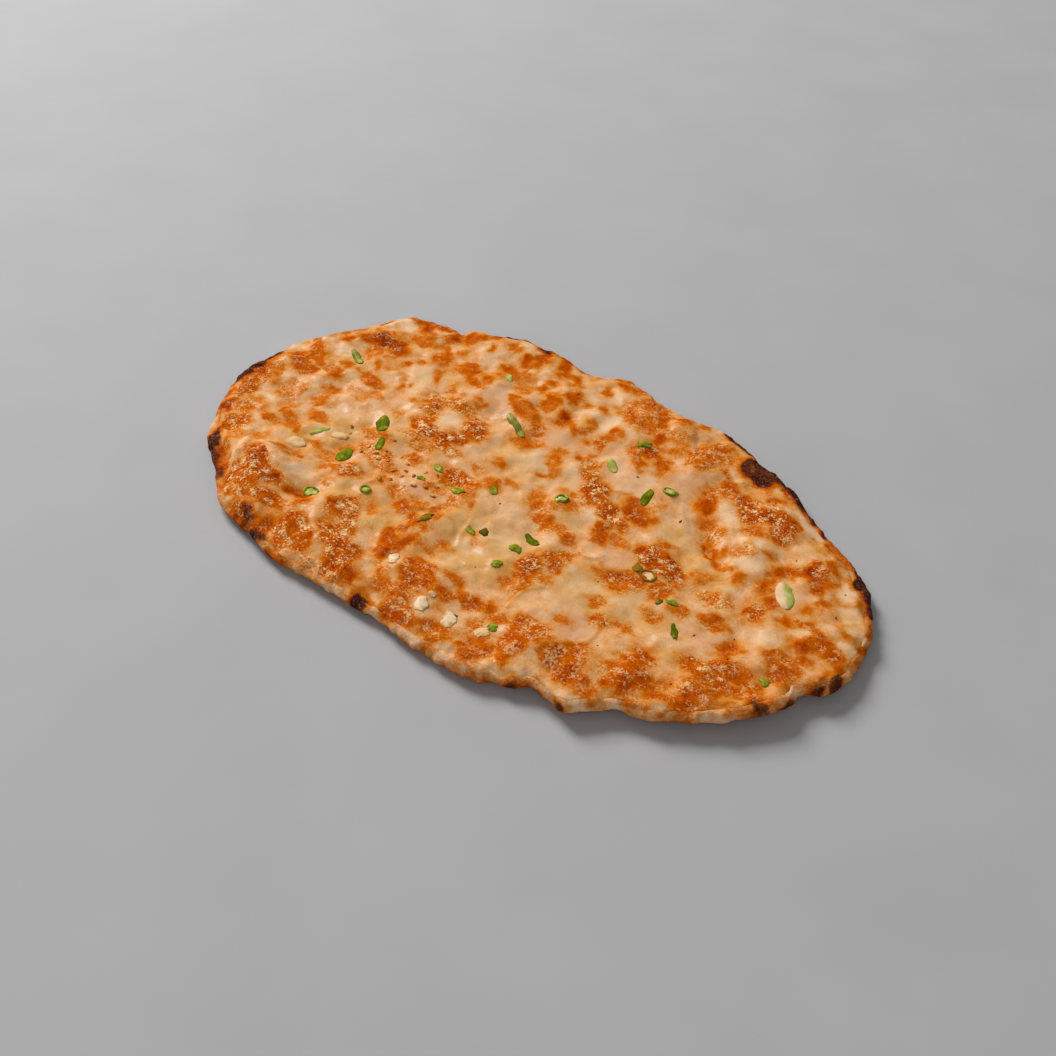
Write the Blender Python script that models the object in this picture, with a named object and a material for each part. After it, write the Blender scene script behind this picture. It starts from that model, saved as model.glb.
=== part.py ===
"""Lahmacun: an oval flatbread under melted, browned cheese with cut spring onion.

Metres, +Z up. The long side lies along X, the flat underside is at z = 0, and the middle
of the plan's box is at x = y = 0. The sizes below are millimetres and degrees, and the
finished meshes are scaled to metres together at the end.
"""
import math
import random

import bmesh
import bpy
from mathutils import Matrix, Vector, noise
from mathutils.bvhtree import BVHTree

MM = 0.001

# Between the meshes of two pieces that touch
GAP = 0.3

# Plan of the bread: a slightly squared oval with an uneven, hand-stretched rim
HALF_LENGTH = 149.5
HALF_WIDTH = 89.5
SQUARENESS = 2.1
# A square grid of this many cells a side is wrapped onto the oval
GRID_CELLS = 52
RIM_POINTS = 4 * GRID_CELLS
# Bulges and notches of the rim: direction from +X, how far out, half-width in degrees
RIM_BULGES = (
    (-155, 4.5, 7),
    (-137, 8.0, 9),
    (-121, 4.5, 9),
    (-91, -2.2, 11),
    (-64, 1.5, 5),
    (-57, -1.6, 2.5),
    (-48.5, -5.2, 3.6),
    (-44, 3.6, 2.2),
    (-35, -4.5, 4),
    (-24, -2.8, 8),
    (-12, -2.2, 5),
    (-8, -6.0, 1.5),
    (31, -6.2, 9),
    (50, -2.6, 9),
    (64, 1.2, 3),
    (79, -3.8, 9),
    (98, 1.6, 2.6),
    (109, -5.4, 6.5),
    (130, 3.2, 6),
    (140, 2.4, 1.8),
    (143.3, -4.2, 1.4),
    (152, 6.4, 5),
    (167, -3.4, 7),
    (179, -2.4, 5),
)
FRILL = 0.6
FRILL_PER_TURN = 36
FRILL_LAYER = 3.5

# Section of the dough's rim, from the flat underside outwards and back in over the top:
# how far in from the outline, and the height
FOOT_INSET = 9.0
LIFTED_FOOT_INSET = 3.2
HEEL_INSET = 2.8
HEEL_HEIGHT = 0.7
UNDER_EDGE_INSET = 0.6
UNDER_EDGE_HEIGHT = 2.1
EDGE_HEIGHT = 3.7
SHOULDER_INSET = 0.8
SHOULDER_DROP = 1.3
CREST_INSET = 2.4
CREST_HEIGHT = 6.3
CREST_ROUGHNESS = 0.8
CREST_PER_TURN = 28
CREST_LAYER = 8.5
# Where the rim is thicker or thinner: direction, rise, half-width in degrees
CREST_LUMPS = (
    (-151, -1.2, 9),
    (-62, 1.0, 6),
    (-44, 0.9, 4),
    (-20, 0.8, 10),
    (28, -0.8, 12),
    (60, 0.9, 6),
    (98, 0.8, 5),
    (125, 0.8, 9),
    (151, 0.8, 7),
)
# Where the baked rim has lifted off what it lies on; the heel and the crest rise less
RIM_LIFTS = (
    (-15, 3.0, 17),
    (-42, 1.8, 10),
)
HEEL_AND_CREST_SHARE = 0.8

# The cheese's own outline, in from the dough's, and how the dough falls away under it
CHEESE_INSET = 3.6
CHEESE_INSETS = (
    (-152, 4.4, 7),
    (-64, 2.6, 5),
    (-14, 1.5, 8),
    (22, 2.6, 9),
    (98, 1.2, 6),
)
CHEESE_EDGE_WANDER = 0.9
CHEESE_EDGE_PER_TURN = 30
CHEESE_EDGE_LAYER = 14.5
CHEESE_SEAT_DROP = 0.5
SLOPE_RUN = 6.0
SLOPE_HEIGHT = 4.9
FLOOR_RUN = 13.0
FLOOR_HEIGHT = 4.2
CHEESE_EDGE_THICKNESS = 0.8
CHEESE_EDGE_BLEND = 8.0

# Relief of the melted cheese, above a mean height
CHEESE_HEIGHT = 7.1
CHEESE_THINNEST = 1.3
SWELL = 0.9
SWELL_LENGTH = 34.0
SWELL_LAYER = 1.5
RIPPLE = 0.5
RIPPLE_LENGTH = 13.0
RIPPLE_LAYER = 5.5
# Mounds and hollows: x, y, half-length, half-width, turn, rise
CHEESE_MOUNDS = (
    # the big dough bubble at the front left, the browned mound beside it, the gully between
    (-86, -64, 29, 14, -30, 5.2),
    (-42, -71, 22, 13, -25, 3.4),
    (-65, -60, 12, 5, 60, -1.4),
    # browned mounds along the front, and a scorched hollow
    (1, -64, 16, 8, 0, 2.4),
    (4, -80, 19, 6, 0, 1.9),
    (-18, -80, 5, 4, 0, -1.8),
    # the pale fold at the front and the scoop inside it
    (48, -81, 10, 3, 65, 2.0),
    (40, -78, 7, 6, 0, -1.8),
    # lobes of the frilled front right
    (60, -64, 14, 11, 10, 2.4),
    (86, -58, 12, 12, 0, 2.1),
    (111, -40, 17, 8, 25, 1.4),
    # slices lying under the cheese
    (51, -44, 15, 13, 0, 1.1),
    (-33, -25, 14, 9, 10, 0.9),
    (-12, -43, 9, 11, 0, 1.0),
    (25, 34, 16, 10, -10, 0.9),
    (-43, 41, 15, 9, -10, 0.8),
    # the folded flap at the right end
    (127, -17, 13, 8, 10, 2.0),
    (136, 1, 12, 6, -8, 1.6),
    # the pale lobe at the far right, the crease before it, the browned mound behind it
    (89, 29, 20, 10, -25, 1.8),
    (75, 21, 15, 3, -42, -1.6),
    (85, 49, 17, 8, 0, 1.7),
    (115, 38, 8, 10, 0, 1.1),
    # the browned ring left of the middle, with its pale dimple
    (-51, 5, 20, 16, 0, 2.0),
    (-50, 14, 8, 5, 0, -0.8),
    # browned streaks and mounds of the middle
    (23, 17, 17, 6, -35, 1.2),
    (32, -30, 6, 14, 10, 1.1),
    (65, -5, 13, 10, 0, 1.3),
    # browned mounds along the far side and the left end
    (24, 72, 22, 7, 0, 1.3),
    (-24, 57, 7, 14, 10, 1.1),
    (-60, 48, 12, 8, -30, 1.0),
    (-99, 61, 14, 7, 20, 1.4),
    (-112, 41, 12, 8, 0, 1.1),
    (-125, 4, 11, 14, 0, 0.9),
)
# Small mounds strewn over the cheese out to a share of the rim's radius
LUMP_COUNT = 150
LUMP_REACH = 0.97
LUMP_RADIUS = (3.5, 7.5)
LUMP_RISE = (0.3, 1.1)
LUMP_SEED = 11

# Thin pieces of spring onion: x, y, length, width, turn, curl of the ends, camber
LEAF_THICKNESS = 0.7
LEAF_TIP = 0.93
LEAF_WAVE = 0.15
LEAF_WAVES = 5
LEAVES = (
    (-114, 22, 13, 4.6, -30, 0.6, 0.5),
    (-28.5, 30, 17, 4.6, -28, 1.4, 0.6),
    (-71.5, -6, 10.5, 6.6, -48, 0.8, 0.4),
    (-63, -16.5, 8, 4.2, -60, 0.3, 0.6),
    (-70, -30.5, 9.5, 6.5, -80, 0.2, 0.3),
    (-88.5, -26.5, 9, 3.4, 62, 0.4, 0.5),
    (41, 28, 9.5, 4.6, -80, 0.5, 0.4),
    (21, -20, 8.5, 4.6, -20, 0.6, 0.5),
    (90.5, -25, 8.5, 3, -52, 0.6, 0.4),
    (18.5, 35.5, 9.5, 5, -40, 0.4, 0.7),
)
# The thick split stalk end, white to green
STALK = (112, 16, 14, 8, -52, 0.3, 1.6)
STALK_THICKNESS = 1.3
# Cut rings: x, y, outside length and width, turn, wall, height
RINGS = (
    (46, 36.5, 7, 5.4, -10, 1.2, 1.5),
    (67, -8, 8, 6, -15, 1.3, 1.6),
)
# Rounded pieces: x, y, length, width, turn, height
ONIONS = (
    (-90.5, -39.5, 11, 8.5, 60, 2.6),
    (-80, -23, 8, 6, 20, 2.0),
)
CURDS = (
    (-10.5, -63.5, 7.5, 5, -65, 3.2),
    (13, -74.5, 9, 6, -60, 3.4),
    (24.5, -72.5, 10, 6, -62, 3.0),
)
ROUNDED_UNEVENNESS = 0.14
ROUNDED_LUMPS = 1.7
# The middle of a rounded piece is this share of its height above the cheese
ROUNDED_RISE = 0.3

# Small cut bits fused to the cheese: x, y, length, width, turn
BIT_SIDES = 7
BIT_SINK = 0.9
BIT_PROUD = 0.8
BIT_TAPER = 0.78
BITS = (
    (-52.5, 53, 6.5, 3, -50),
    (-35, -13, 5, 3.5, -30),
    (-20, -18.5, 6.5, 4, 5),
    (-36, -22.5, 3.5, 3, 0),
    (-9, -9, 5, 3.2, -55),
    (-18, -39.5, 7.5, 3.4, 80),
    (-1, -32.5, 5, 3, -15),
    (4, -30, 4.5, 3.5, -40),
    (19, -29, 5.5, 4, 0),
    (19.5, -41, 4.5, 4, 60),
    (19.5, 55, 7, 3.5, 45),
    (38.5, -66, 5, 3.8, -20),
    (81, -14.5, 4.5, 4, 0),
    (77, -17, 3, 2.6, 60),
    (127.5, -25.5, 4, 3.4, 15),
    (61, -8, 6, 4.4, -35),
    (37, -70, 6, 4.5, 20),
    (12, -68.5, 3.2, 2.6, 0),
)
# Small rings fused to the cheese: x, y, outside length and width, turn, wall, height
RING_SIDES = 10
SMALL_RING_SIDES = 8
RING_BITS = (
    (-64, -56.5, 7, 6.2, 0, 1.2, 1.7),
    (-48, -42, 5, 4.4, 0, 1.1, 1.7),
    (15.5, 3.5, 6.4, 5, 75, 1.2, 1.7),
)

# How far round a point the ground is felt, so that a facet never cuts a ridge
FEEL = 1.2
ABOVE_ALL = 40.0


def bell(distance):
    """A mound's section: 1 at the middle, round on top and steep at the sides."""
    return math.exp(-abs(distance) ** 3)


def half_turn_apart(turn, other):
    """From one direction to another, the short way round, in degrees."""
    return (turn - other + 180) % 360 - 180


def directed(rows, turn):
    """Sum of bulges given as direction, amount and half-width, at a turn in degrees."""
    total = 0.0
    for direction, amount, half_width in rows:
        total += amount * math.exp(-((half_turn_apart(turn, direction) / half_width) ** 2))
    return total


def round_noise(turn, per_turn, layer):
    """Smooth unevenness that closes on itself round the rim."""
    angle = math.radians(turn)
    spread = per_turn / 2
    return noise.noise(Vector((spread * math.cos(angle), spread * math.sin(angle), layer)))


def rim_radius(turn):
    """From the middle of the bread to its outline, at a turn in degrees."""
    angle = math.radians(turn)
    along = abs(math.cos(angle) / HALF_LENGTH) ** SQUARENESS
    across = abs(math.sin(angle) / HALF_WIDTH) ** SQUARENESS
    oval = (along + across) ** (-1 / SQUARENESS)
    frill = FRILL * round_noise(turn, FRILL_PER_TURN, FRILL_LAYER)
    return oval + directed(RIM_BULGES, turn) + frill


def rim_turn(step_turn):
    """Evens out the rim's points: they'd crowd at the sides or at the ends of the oval."""
    angle = math.radians(step_turn)
    squeezed = math.degrees(math.atan2(HALF_WIDTH * math.sin(angle), HALF_LENGTH * math.cos(angle)))
    return step_turn + half_turn_apart(squeezed, step_turn) / 2


def crest_height(turn):
    """Top of the dough's rim."""
    rough = CREST_ROUGHNESS * round_noise(turn, CREST_PER_TURN, CREST_LAYER)
    lifted = HEEL_AND_CREST_SHARE * directed(RIM_LIFTS, turn)
    return CREST_HEIGHT + directed(CREST_LUMPS, turn) + rough + lifted


def cheese_inset(turn):
    """From the dough's outline in to the cheese's."""
    wander = CHEESE_EDGE_WANDER * round_noise(turn, CHEESE_EDGE_PER_TURN, CHEESE_EDGE_LAYER)
    return CHEESE_INSET + directed(CHEESE_INSETS, turn) + wander


def scattered_lumps():
    """Small mounds spread over the cheese by a seeded draw: x, y, radius, rise."""
    draw = random.Random(LUMP_SEED)
    lumps = []
    for _ in range(LUMP_COUNT):
        turn = draw.uniform(-180, 180)
        share = math.sqrt(draw.random()) * LUMP_REACH
        reach = share * rim_radius(turn)
        angle = math.radians(turn)
        rise = draw.uniform(*LUMP_RISE)
        lumps.append((reach * math.cos(angle), reach * math.sin(angle), draw.uniform(*LUMP_RADIUS), rise))
    return lumps


def cheese_relief(x, y, lumps):
    """Height of the cheese away from its edge."""
    height = CHEESE_HEIGHT
    height += SWELL * noise.noise(Vector((x / SWELL_LENGTH, y / SWELL_LENGTH, SWELL_LAYER)))
    height += RIPPLE * noise.noise(Vector((x / RIPPLE_LENGTH, y / RIPPLE_LENGTH, RIPPLE_LAYER)))
    for mound_x, mound_y, half_length, half_width, turn, rise in CHEESE_MOUNDS:
        angle = math.radians(turn)
        along = (x - mound_x) * math.cos(angle) + (y - mound_y) * math.sin(angle)
        across = (y - mound_y) * math.cos(angle) - (x - mound_x) * math.sin(angle)
        height += rise * bell(math.hypot(along / half_length, across / half_width))
    for lump_x, lump_y, radius, rise in lumps:
        height += rise * bell(math.hypot(x - lump_x, y - lump_y) / radius)
    return max(height, FLOOR_HEIGHT + GAP + CHEESE_THINNEST)


def wrapped(u, v):
    """Turns a point of the square grid into a share of the rim's radius and a step turn."""
    share = max(abs(u), abs(v))
    if share == 0:
        return 0.0, 0.0
    if abs(u) >= abs(v):
        turn = 45 * v / u + (0 if u > 0 else 180)
    else:
        turn = 90 - 45 * u / v + (0 if v > 0 else 180)
    return share, turn


def rim_point(turn, inset, height):
    """A point at a turn, in from the outline."""
    angle = math.radians(turn)
    reach = rim_radius(turn) - inset
    return Vector((reach * math.cos(angle), reach * math.sin(angle), height))


def turn_of(point):
    return math.degrees(math.atan2(point.y, point.x))


def next_ring(bm, ring, inset_at, height_at):
    """Extrudes a closed run of edges and sets the new ring by its inset and its height."""
    grown = bmesh.ops.extrude_edge_only(bm, edges=ring)["geom"]
    new_verts = {item for item in grown if isinstance(item, bmesh.types.BMVert)}
    for vert in new_verts:
        turn = turn_of(vert.co)
        vert.co = rim_point(turn, inset_at(turn), height_at(turn))
    new_edges = [item for item in grown if isinstance(item, bmesh.types.BMEdge)]
    return [edge for edge in new_edges if edge.verts[0] in new_verts and edge.verts[1] in new_verts]


def finish_material(name, colour, roughness):
    """A Principled material from an sRGB colour."""
    finish = bpy.data.materials.new(name)
    finish.use_nodes = True
    shader = finish.node_tree.nodes["Principled BSDF"]
    linear = [((part + 0.055) / 1.055) ** 2.4 for part in colour]
    shader.inputs["Base Color"].default_value = (*linear, 1)
    shader.inputs["Roughness"].default_value = roughness
    shader.inputs["Metallic"].default_value = 0
    finish.diffuse_color = (*linear, 1)
    return finish


def add_piece(name, bm, finish):
    """Turns a bmesh into a linked piece of triangles that face outwards."""
    bmesh.ops.triangulate(bm, faces=bm.faces[:], quad_method="BEAUTY", ngon_method="BEAUTY")
    bmesh.ops.recalc_face_normals(bm, faces=bm.faces[:])
    mesh = bpy.data.meshes.new(name)
    bm.to_mesh(mesh)
    bm.free()
    mesh.materials.append(finish)
    mesh.shade_smooth()
    piece = bpy.data.objects.new(name, mesh)
    bpy.context.scene.collection.objects.link(piece)
    return piece


def make_dough(finish):
    """The bread: flat below, a lumpy rim, and a flat bed under the cheese."""
    bm = bmesh.new()
    bmesh.ops.create_circle(bm, cap_ends=True, segments=RIM_POINTS, radius=1)
    for vert in bm.verts:
        turn = rim_turn(turn_of(vert.co))
        inset = FOOT_INSET + LIFTED_FOOT_INSET * directed(RIM_LIFTS, turn)
        vert.co = rim_point(turn, inset, 0)

    def lift(turn):
        return directed(RIM_LIFTS, turn)

    def seat(turn):
        return crest_height(turn) - CHEESE_SEAT_DROP

    section = (
        (lambda turn: HEEL_INSET, lambda turn: HEEL_HEIGHT + HEEL_AND_CREST_SHARE * lift(turn)),
        (lambda turn: UNDER_EDGE_INSET, lambda turn: UNDER_EDGE_HEIGHT + lift(turn)),
        (lambda turn: 0.0, lambda turn: EDGE_HEIGHT + lift(turn)),
        (lambda turn: SHOULDER_INSET, lambda turn: crest_height(turn) - SHOULDER_DROP),
        (lambda turn: CREST_INSET, crest_height),
        (cheese_inset, seat),
        (lambda turn: cheese_inset(turn) + SLOPE_RUN, lambda turn: SLOPE_HEIGHT),
        (lambda turn: cheese_inset(turn) + FLOOR_RUN, lambda turn: FLOOR_HEIGHT),
    )
    ring = bm.edges[:]
    for inset_at, height_at in section:
        ring = next_ring(bm, ring, inset_at, height_at)
    bmesh.ops.edgeloop_fill(bm, edges=ring)
    return add_piece("flatbread_dough", bm, finish)


def make_cheese(finish):
    """The melted layer: its relief on top, and below the shape of the bed it lies in."""
    lumps = scattered_lumps()
    bm = bmesh.new()
    bmesh.ops.create_grid(bm, x_segments=GRID_CELLS, y_segments=GRID_CELLS, size=1)
    for vert in bm.verts:
        share, step_turn = wrapped(vert.co.x, vert.co.y)
        turn = rim_turn(step_turn)
        edge = rim_point(turn, cheese_inset(turn), 0)
        x = share * edge.x
        y = share * edge.y
        from_edge = (1 - share) * edge.length
        inward = min(from_edge / CHEESE_EDGE_BLEND, 1)
        blend = inward * inward * (3 - 2 * inward)
        edge_height = crest_height(turn) - CHEESE_SEAT_DROP + GAP + CHEESE_EDGE_THICKNESS
        vert.co = (x, y, edge_height + blend * (cheese_relief(x, y, lumps) - edge_height))

    def seat(turn):
        return crest_height(turn) - CHEESE_SEAT_DROP + GAP

    section = (
        (cheese_inset, seat),
        (lambda turn: cheese_inset(turn) + SLOPE_RUN, lambda turn: SLOPE_HEIGHT + GAP),
        (lambda turn: cheese_inset(turn) + FLOOR_RUN, lambda turn: FLOOR_HEIGHT + GAP),
    )
    ring = [edge for edge in bm.edges if edge.is_boundary]
    for inset_at, height_at in section:
        ring = next_ring(bm, ring, inset_at, height_at)
    bmesh.ops.edgeloop_fill(bm, edges=ring)
    return add_piece("melted_cheese", bm, finish)


def ground_under(piece):
    """Gives a function for the height of a piece's upper surface."""
    bm = bmesh.new()
    bm.from_mesh(piece.data)
    tree = BVHTree.FromBMesh(bm)
    bm.free()
    around = [(0, 0), (FEEL, 0), (-FEEL, 0), (0, FEEL), (0, -FEEL)]

    def height(x, y):
        found = []
        for step_x, step_y in around:
            start = Vector((x + step_x, y + step_y, ABOVE_ALL))
            found.append(tree.ray_cast(start, Vector((0, 0, -1)))[0].z)
        return max(found)

    return height


def place(bm, x, y, turn):
    bmesh.ops.rotate(bm, verts=bm.verts[:], matrix=Matrix.Rotation(math.radians(turn), 3, "Z"))
    bmesh.ops.translate(bm, verts=bm.verts[:], vec=(x, y, 0))


def make_leaf(name, row, thickness, ground, finish):
    """A limp thin piece that follows the cheese, with raised ends and an arched width."""
    x, y, length, width, turn, curl, camber = row
    bm = bmesh.new()
    bmesh.ops.create_grid(bm, x_segments=5, y_segments=2, size=1)
    for vert in bm.verts:
        along, across = vert.co.x, vert.co.y
        narrow = math.sqrt(1 - (LEAF_TIP * along) ** 2)
        wave = LEAF_WAVE * (1 + math.sin(LEAF_WAVES * along + x))
        rise = curl * abs(along) ** 3 + camber * (1 - across * across) + wave
        vert.co = (along * length / 2, across * narrow * width / 2, rise)
    bmesh.ops.triangulate(bm, faces=bm.faces[:], quad_method="BEAUTY")
    place(bm, x, y, turn)
    for vert in bm.verts:
        vert.co.z += ground(vert.co.x, vert.co.y) + GAP
    grown = bmesh.ops.extrude_face_region(bm, geom=bm.faces[:])["geom"]
    upper = [item for item in grown if isinstance(item, bmesh.types.BMVert)]
    bmesh.ops.translate(bm, verts=upper, vec=(0, 0, thickness))
    return add_piece(name, bm, finish)


def ring_mesh(row, sides):
    """A cut ring with a square wall, standing on z = 0."""
    x, y, length, width, turn, wall, height = row
    radius = length / 2
    bm = bmesh.new()
    bmesh.ops.create_circle(bm, segments=4, radius=1)
    square = Matrix.Rotation(math.radians(90), 3, "X") @ Matrix.Rotation(math.radians(45), 3, "Z")
    bmesh.ops.rotate(bm, verts=bm.verts[:], matrix=square)
    corner = math.sqrt(0.5)
    bmesh.ops.scale(bm, verts=bm.verts[:], vec=(wall / 2 / corner, 1, height / 2 / corner))
    bmesh.ops.translate(bm, verts=bm.verts[:], vec=(radius - wall / 2, 0, height / 2))
    bmesh.ops.spin(bm, geom=bm.verts[:] + bm.edges[:], axis=(0, 0, 1), cent=(0, 0, 0), steps=sides,
                   angle=math.tau, use_merge=True)
    bmesh.ops.scale(bm, verts=bm.verts[:], vec=(1, width / length, 1))
    place(bm, x, y, turn)
    return bm


def make_ring(name, row, ground, finish):
    """A cut ring that rests on the highest of the cheese under it."""
    bm = ring_mesh(row, RING_SIDES)
    base = max(ground(vert.co.x, vert.co.y) for vert in bm.verts)
    bmesh.ops.translate(bm, verts=bm.verts[:], vec=(0, 0, base + GAP))
    return add_piece(name, bm, finish)


def make_rounded(name, row, ground, finish):
    """A rounded, uneven piece whose underside follows the cheese."""
    x, y, length, width, turn, height = row
    bm = bmesh.new()
    bmesh.ops.create_icosphere(bm, subdivisions=2, radius=1)
    for vert in bm.verts:
        swollen = 1 + ROUNDED_UNEVENNESS * noise.noise(vert.co * ROUNDED_LUMPS + Vector((x, y, 0)))
        vert.co *= swollen
    bmesh.ops.scale(bm, verts=bm.verts[:], vec=(length / 2, width / 2, height / 2))
    place(bm, x, y, turn)
    middle = ground(x, y) + GAP + ROUNDED_RISE * height
    for vert in bm.verts:
        vert.co.z = max(vert.co.z + middle, ground(vert.co.x, vert.co.y) + GAP)
    return add_piece(name, bm, finish)


def make_bit(name, row, ground, finish):
    """A small tapered bit that is sunk a little into the cheese."""
    x, y, length, width, turn = row
    bm = bmesh.new()
    bmesh.ops.create_cone(bm, cap_ends=True, segments=BIT_SIDES, radius1=1, radius2=BIT_TAPER, depth=1)
    depth = BIT_SINK + BIT_PROUD
    bmesh.ops.scale(bm, verts=bm.verts[:], vec=(length / 2, width / 2, depth))
    place(bm, x, y, turn)
    middle = ground(x, y) - BIT_SINK + depth / 2
    bmesh.ops.translate(bm, verts=bm.verts[:], vec=(0, 0, middle))
    return add_piece(name, bm, finish)


def make_ring_bit(name, row, ground, finish):
    """A small ring that is sunk a little into the cheese."""
    bm = ring_mesh(row, SMALL_RING_SIDES)
    middle = ground(row[0], row[1]) - BIT_SINK
    bmesh.ops.translate(bm, verts=bm.verts[:], vec=(0, 0, middle))
    return add_piece(name, bm, finish)


def fuse_bits(cheese, finish):
    """Joins every small bit to the cheese by one Boolean union."""
    ground = ground_under(cheese)
    bits = bpy.data.collections.new("small_bits")
    bpy.context.scene.collection.children.link(bits)
    made = [make_bit("bit", row, ground, finish) for row in BITS]
    made += [make_ring_bit("ring_bit", row, ground, finish) for row in RING_BITS]
    for piece in made:
        bpy.context.scene.collection.objects.unlink(piece)
        bits.objects.link(piece)
    union = cheese.modifiers.new("join_bits", "BOOLEAN")
    union.operation = "UNION"
    union.operand_type = "COLLECTION"
    union.collection = bits
    union.solver = "EXACT"
    evaluated = cheese.evaluated_get(bpy.context.evaluated_depsgraph_get())
    joined = bpy.data.meshes.new_from_object(evaluated)
    cheese.modifiers.clear()
    cheese.data = joined
    for piece in made:
        bpy.data.objects.remove(piece)
    bpy.data.collections.remove(bits)


def centre_and_scale(pieces, bread):
    """Puts the middle of the bread's box at x = y = 0, and turns millimetres to metres."""
    spots = [vert.co for vert in bread.data.vertices]
    middle_x = (min(spot.x for spot in spots) + max(spot.x for spot in spots)) / 2
    middle_y = (min(spot.y for spot in spots) + max(spot.y for spot in spots)) / 2
    to_metres = Matrix.Scale(MM, 4) @ Matrix.Translation((-middle_x, -middle_y, 0))
    for piece in pieces:
        piece.data.transform(to_metres)


def build():
    for old in list(bpy.data.objects):
        bpy.data.objects.remove(old)
    bread_finish = finish_material("baked_dough", (0.85, 0.64, 0.43), 0.75)
    cheese_finish = finish_material("browned_cheese", (0.86, 0.62, 0.38), 0.45)
    green_finish = finish_material("spring_onion", (0.42, 0.56, 0.20), 0.4)
    pale_finish = finish_material("pale_onion", (0.80, 0.82, 0.60), 0.4)
    curd_finish = finish_material("white_cheese", (0.95, 0.88, 0.76), 0.5)

    bread = make_dough(bread_finish)
    cheese = make_cheese(cheese_finish)
    fuse_bits(cheese, green_finish)
    ground = ground_under(cheese)
    pieces = [bread, cheese]
    for number, row in enumerate(LEAVES, start=1):
        pieces.append(make_leaf(f"scallion_leaf_{number}", row, LEAF_THICKNESS, ground, green_finish))
    pieces.append(make_leaf("scallion_stalk", STALK, STALK_THICKNESS, ground, pale_finish))
    for number, row in enumerate(RINGS, start=1):
        pieces.append(make_ring(f"scallion_ring_{number}", row, ground, green_finish))
    for number, row in enumerate(ONIONS, start=1):
        pieces.append(make_rounded(f"onion_piece_{number}", row, ground, pale_finish))
    for number, row in enumerate(CURDS, start=1):
        pieces.append(make_rounded(f"white_cheese_{number}", row, ground, curd_finish))
    centre_and_scale(pieces, bread)


build()
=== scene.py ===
"""Looks of the lahmacun: baked cheese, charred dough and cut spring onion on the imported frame."""
import math
import random

import bmesh
import bpy
import numpy as np
from mathutils import Matrix, Vector, noise
from mathutils.bvhtree import BVHTree


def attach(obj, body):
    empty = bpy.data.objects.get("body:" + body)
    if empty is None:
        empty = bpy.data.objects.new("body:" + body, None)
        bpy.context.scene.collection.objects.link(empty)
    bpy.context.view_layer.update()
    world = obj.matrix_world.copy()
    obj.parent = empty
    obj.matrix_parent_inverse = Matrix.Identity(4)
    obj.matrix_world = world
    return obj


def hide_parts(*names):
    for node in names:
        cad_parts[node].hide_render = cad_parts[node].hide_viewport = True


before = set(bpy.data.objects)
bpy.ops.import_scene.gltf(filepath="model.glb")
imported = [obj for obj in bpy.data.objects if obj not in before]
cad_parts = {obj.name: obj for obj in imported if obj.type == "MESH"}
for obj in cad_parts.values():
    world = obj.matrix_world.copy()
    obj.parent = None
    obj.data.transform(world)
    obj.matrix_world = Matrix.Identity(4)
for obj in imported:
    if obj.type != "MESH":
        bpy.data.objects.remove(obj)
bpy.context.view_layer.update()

MM = 0.001
draw = random.Random(7)

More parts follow.
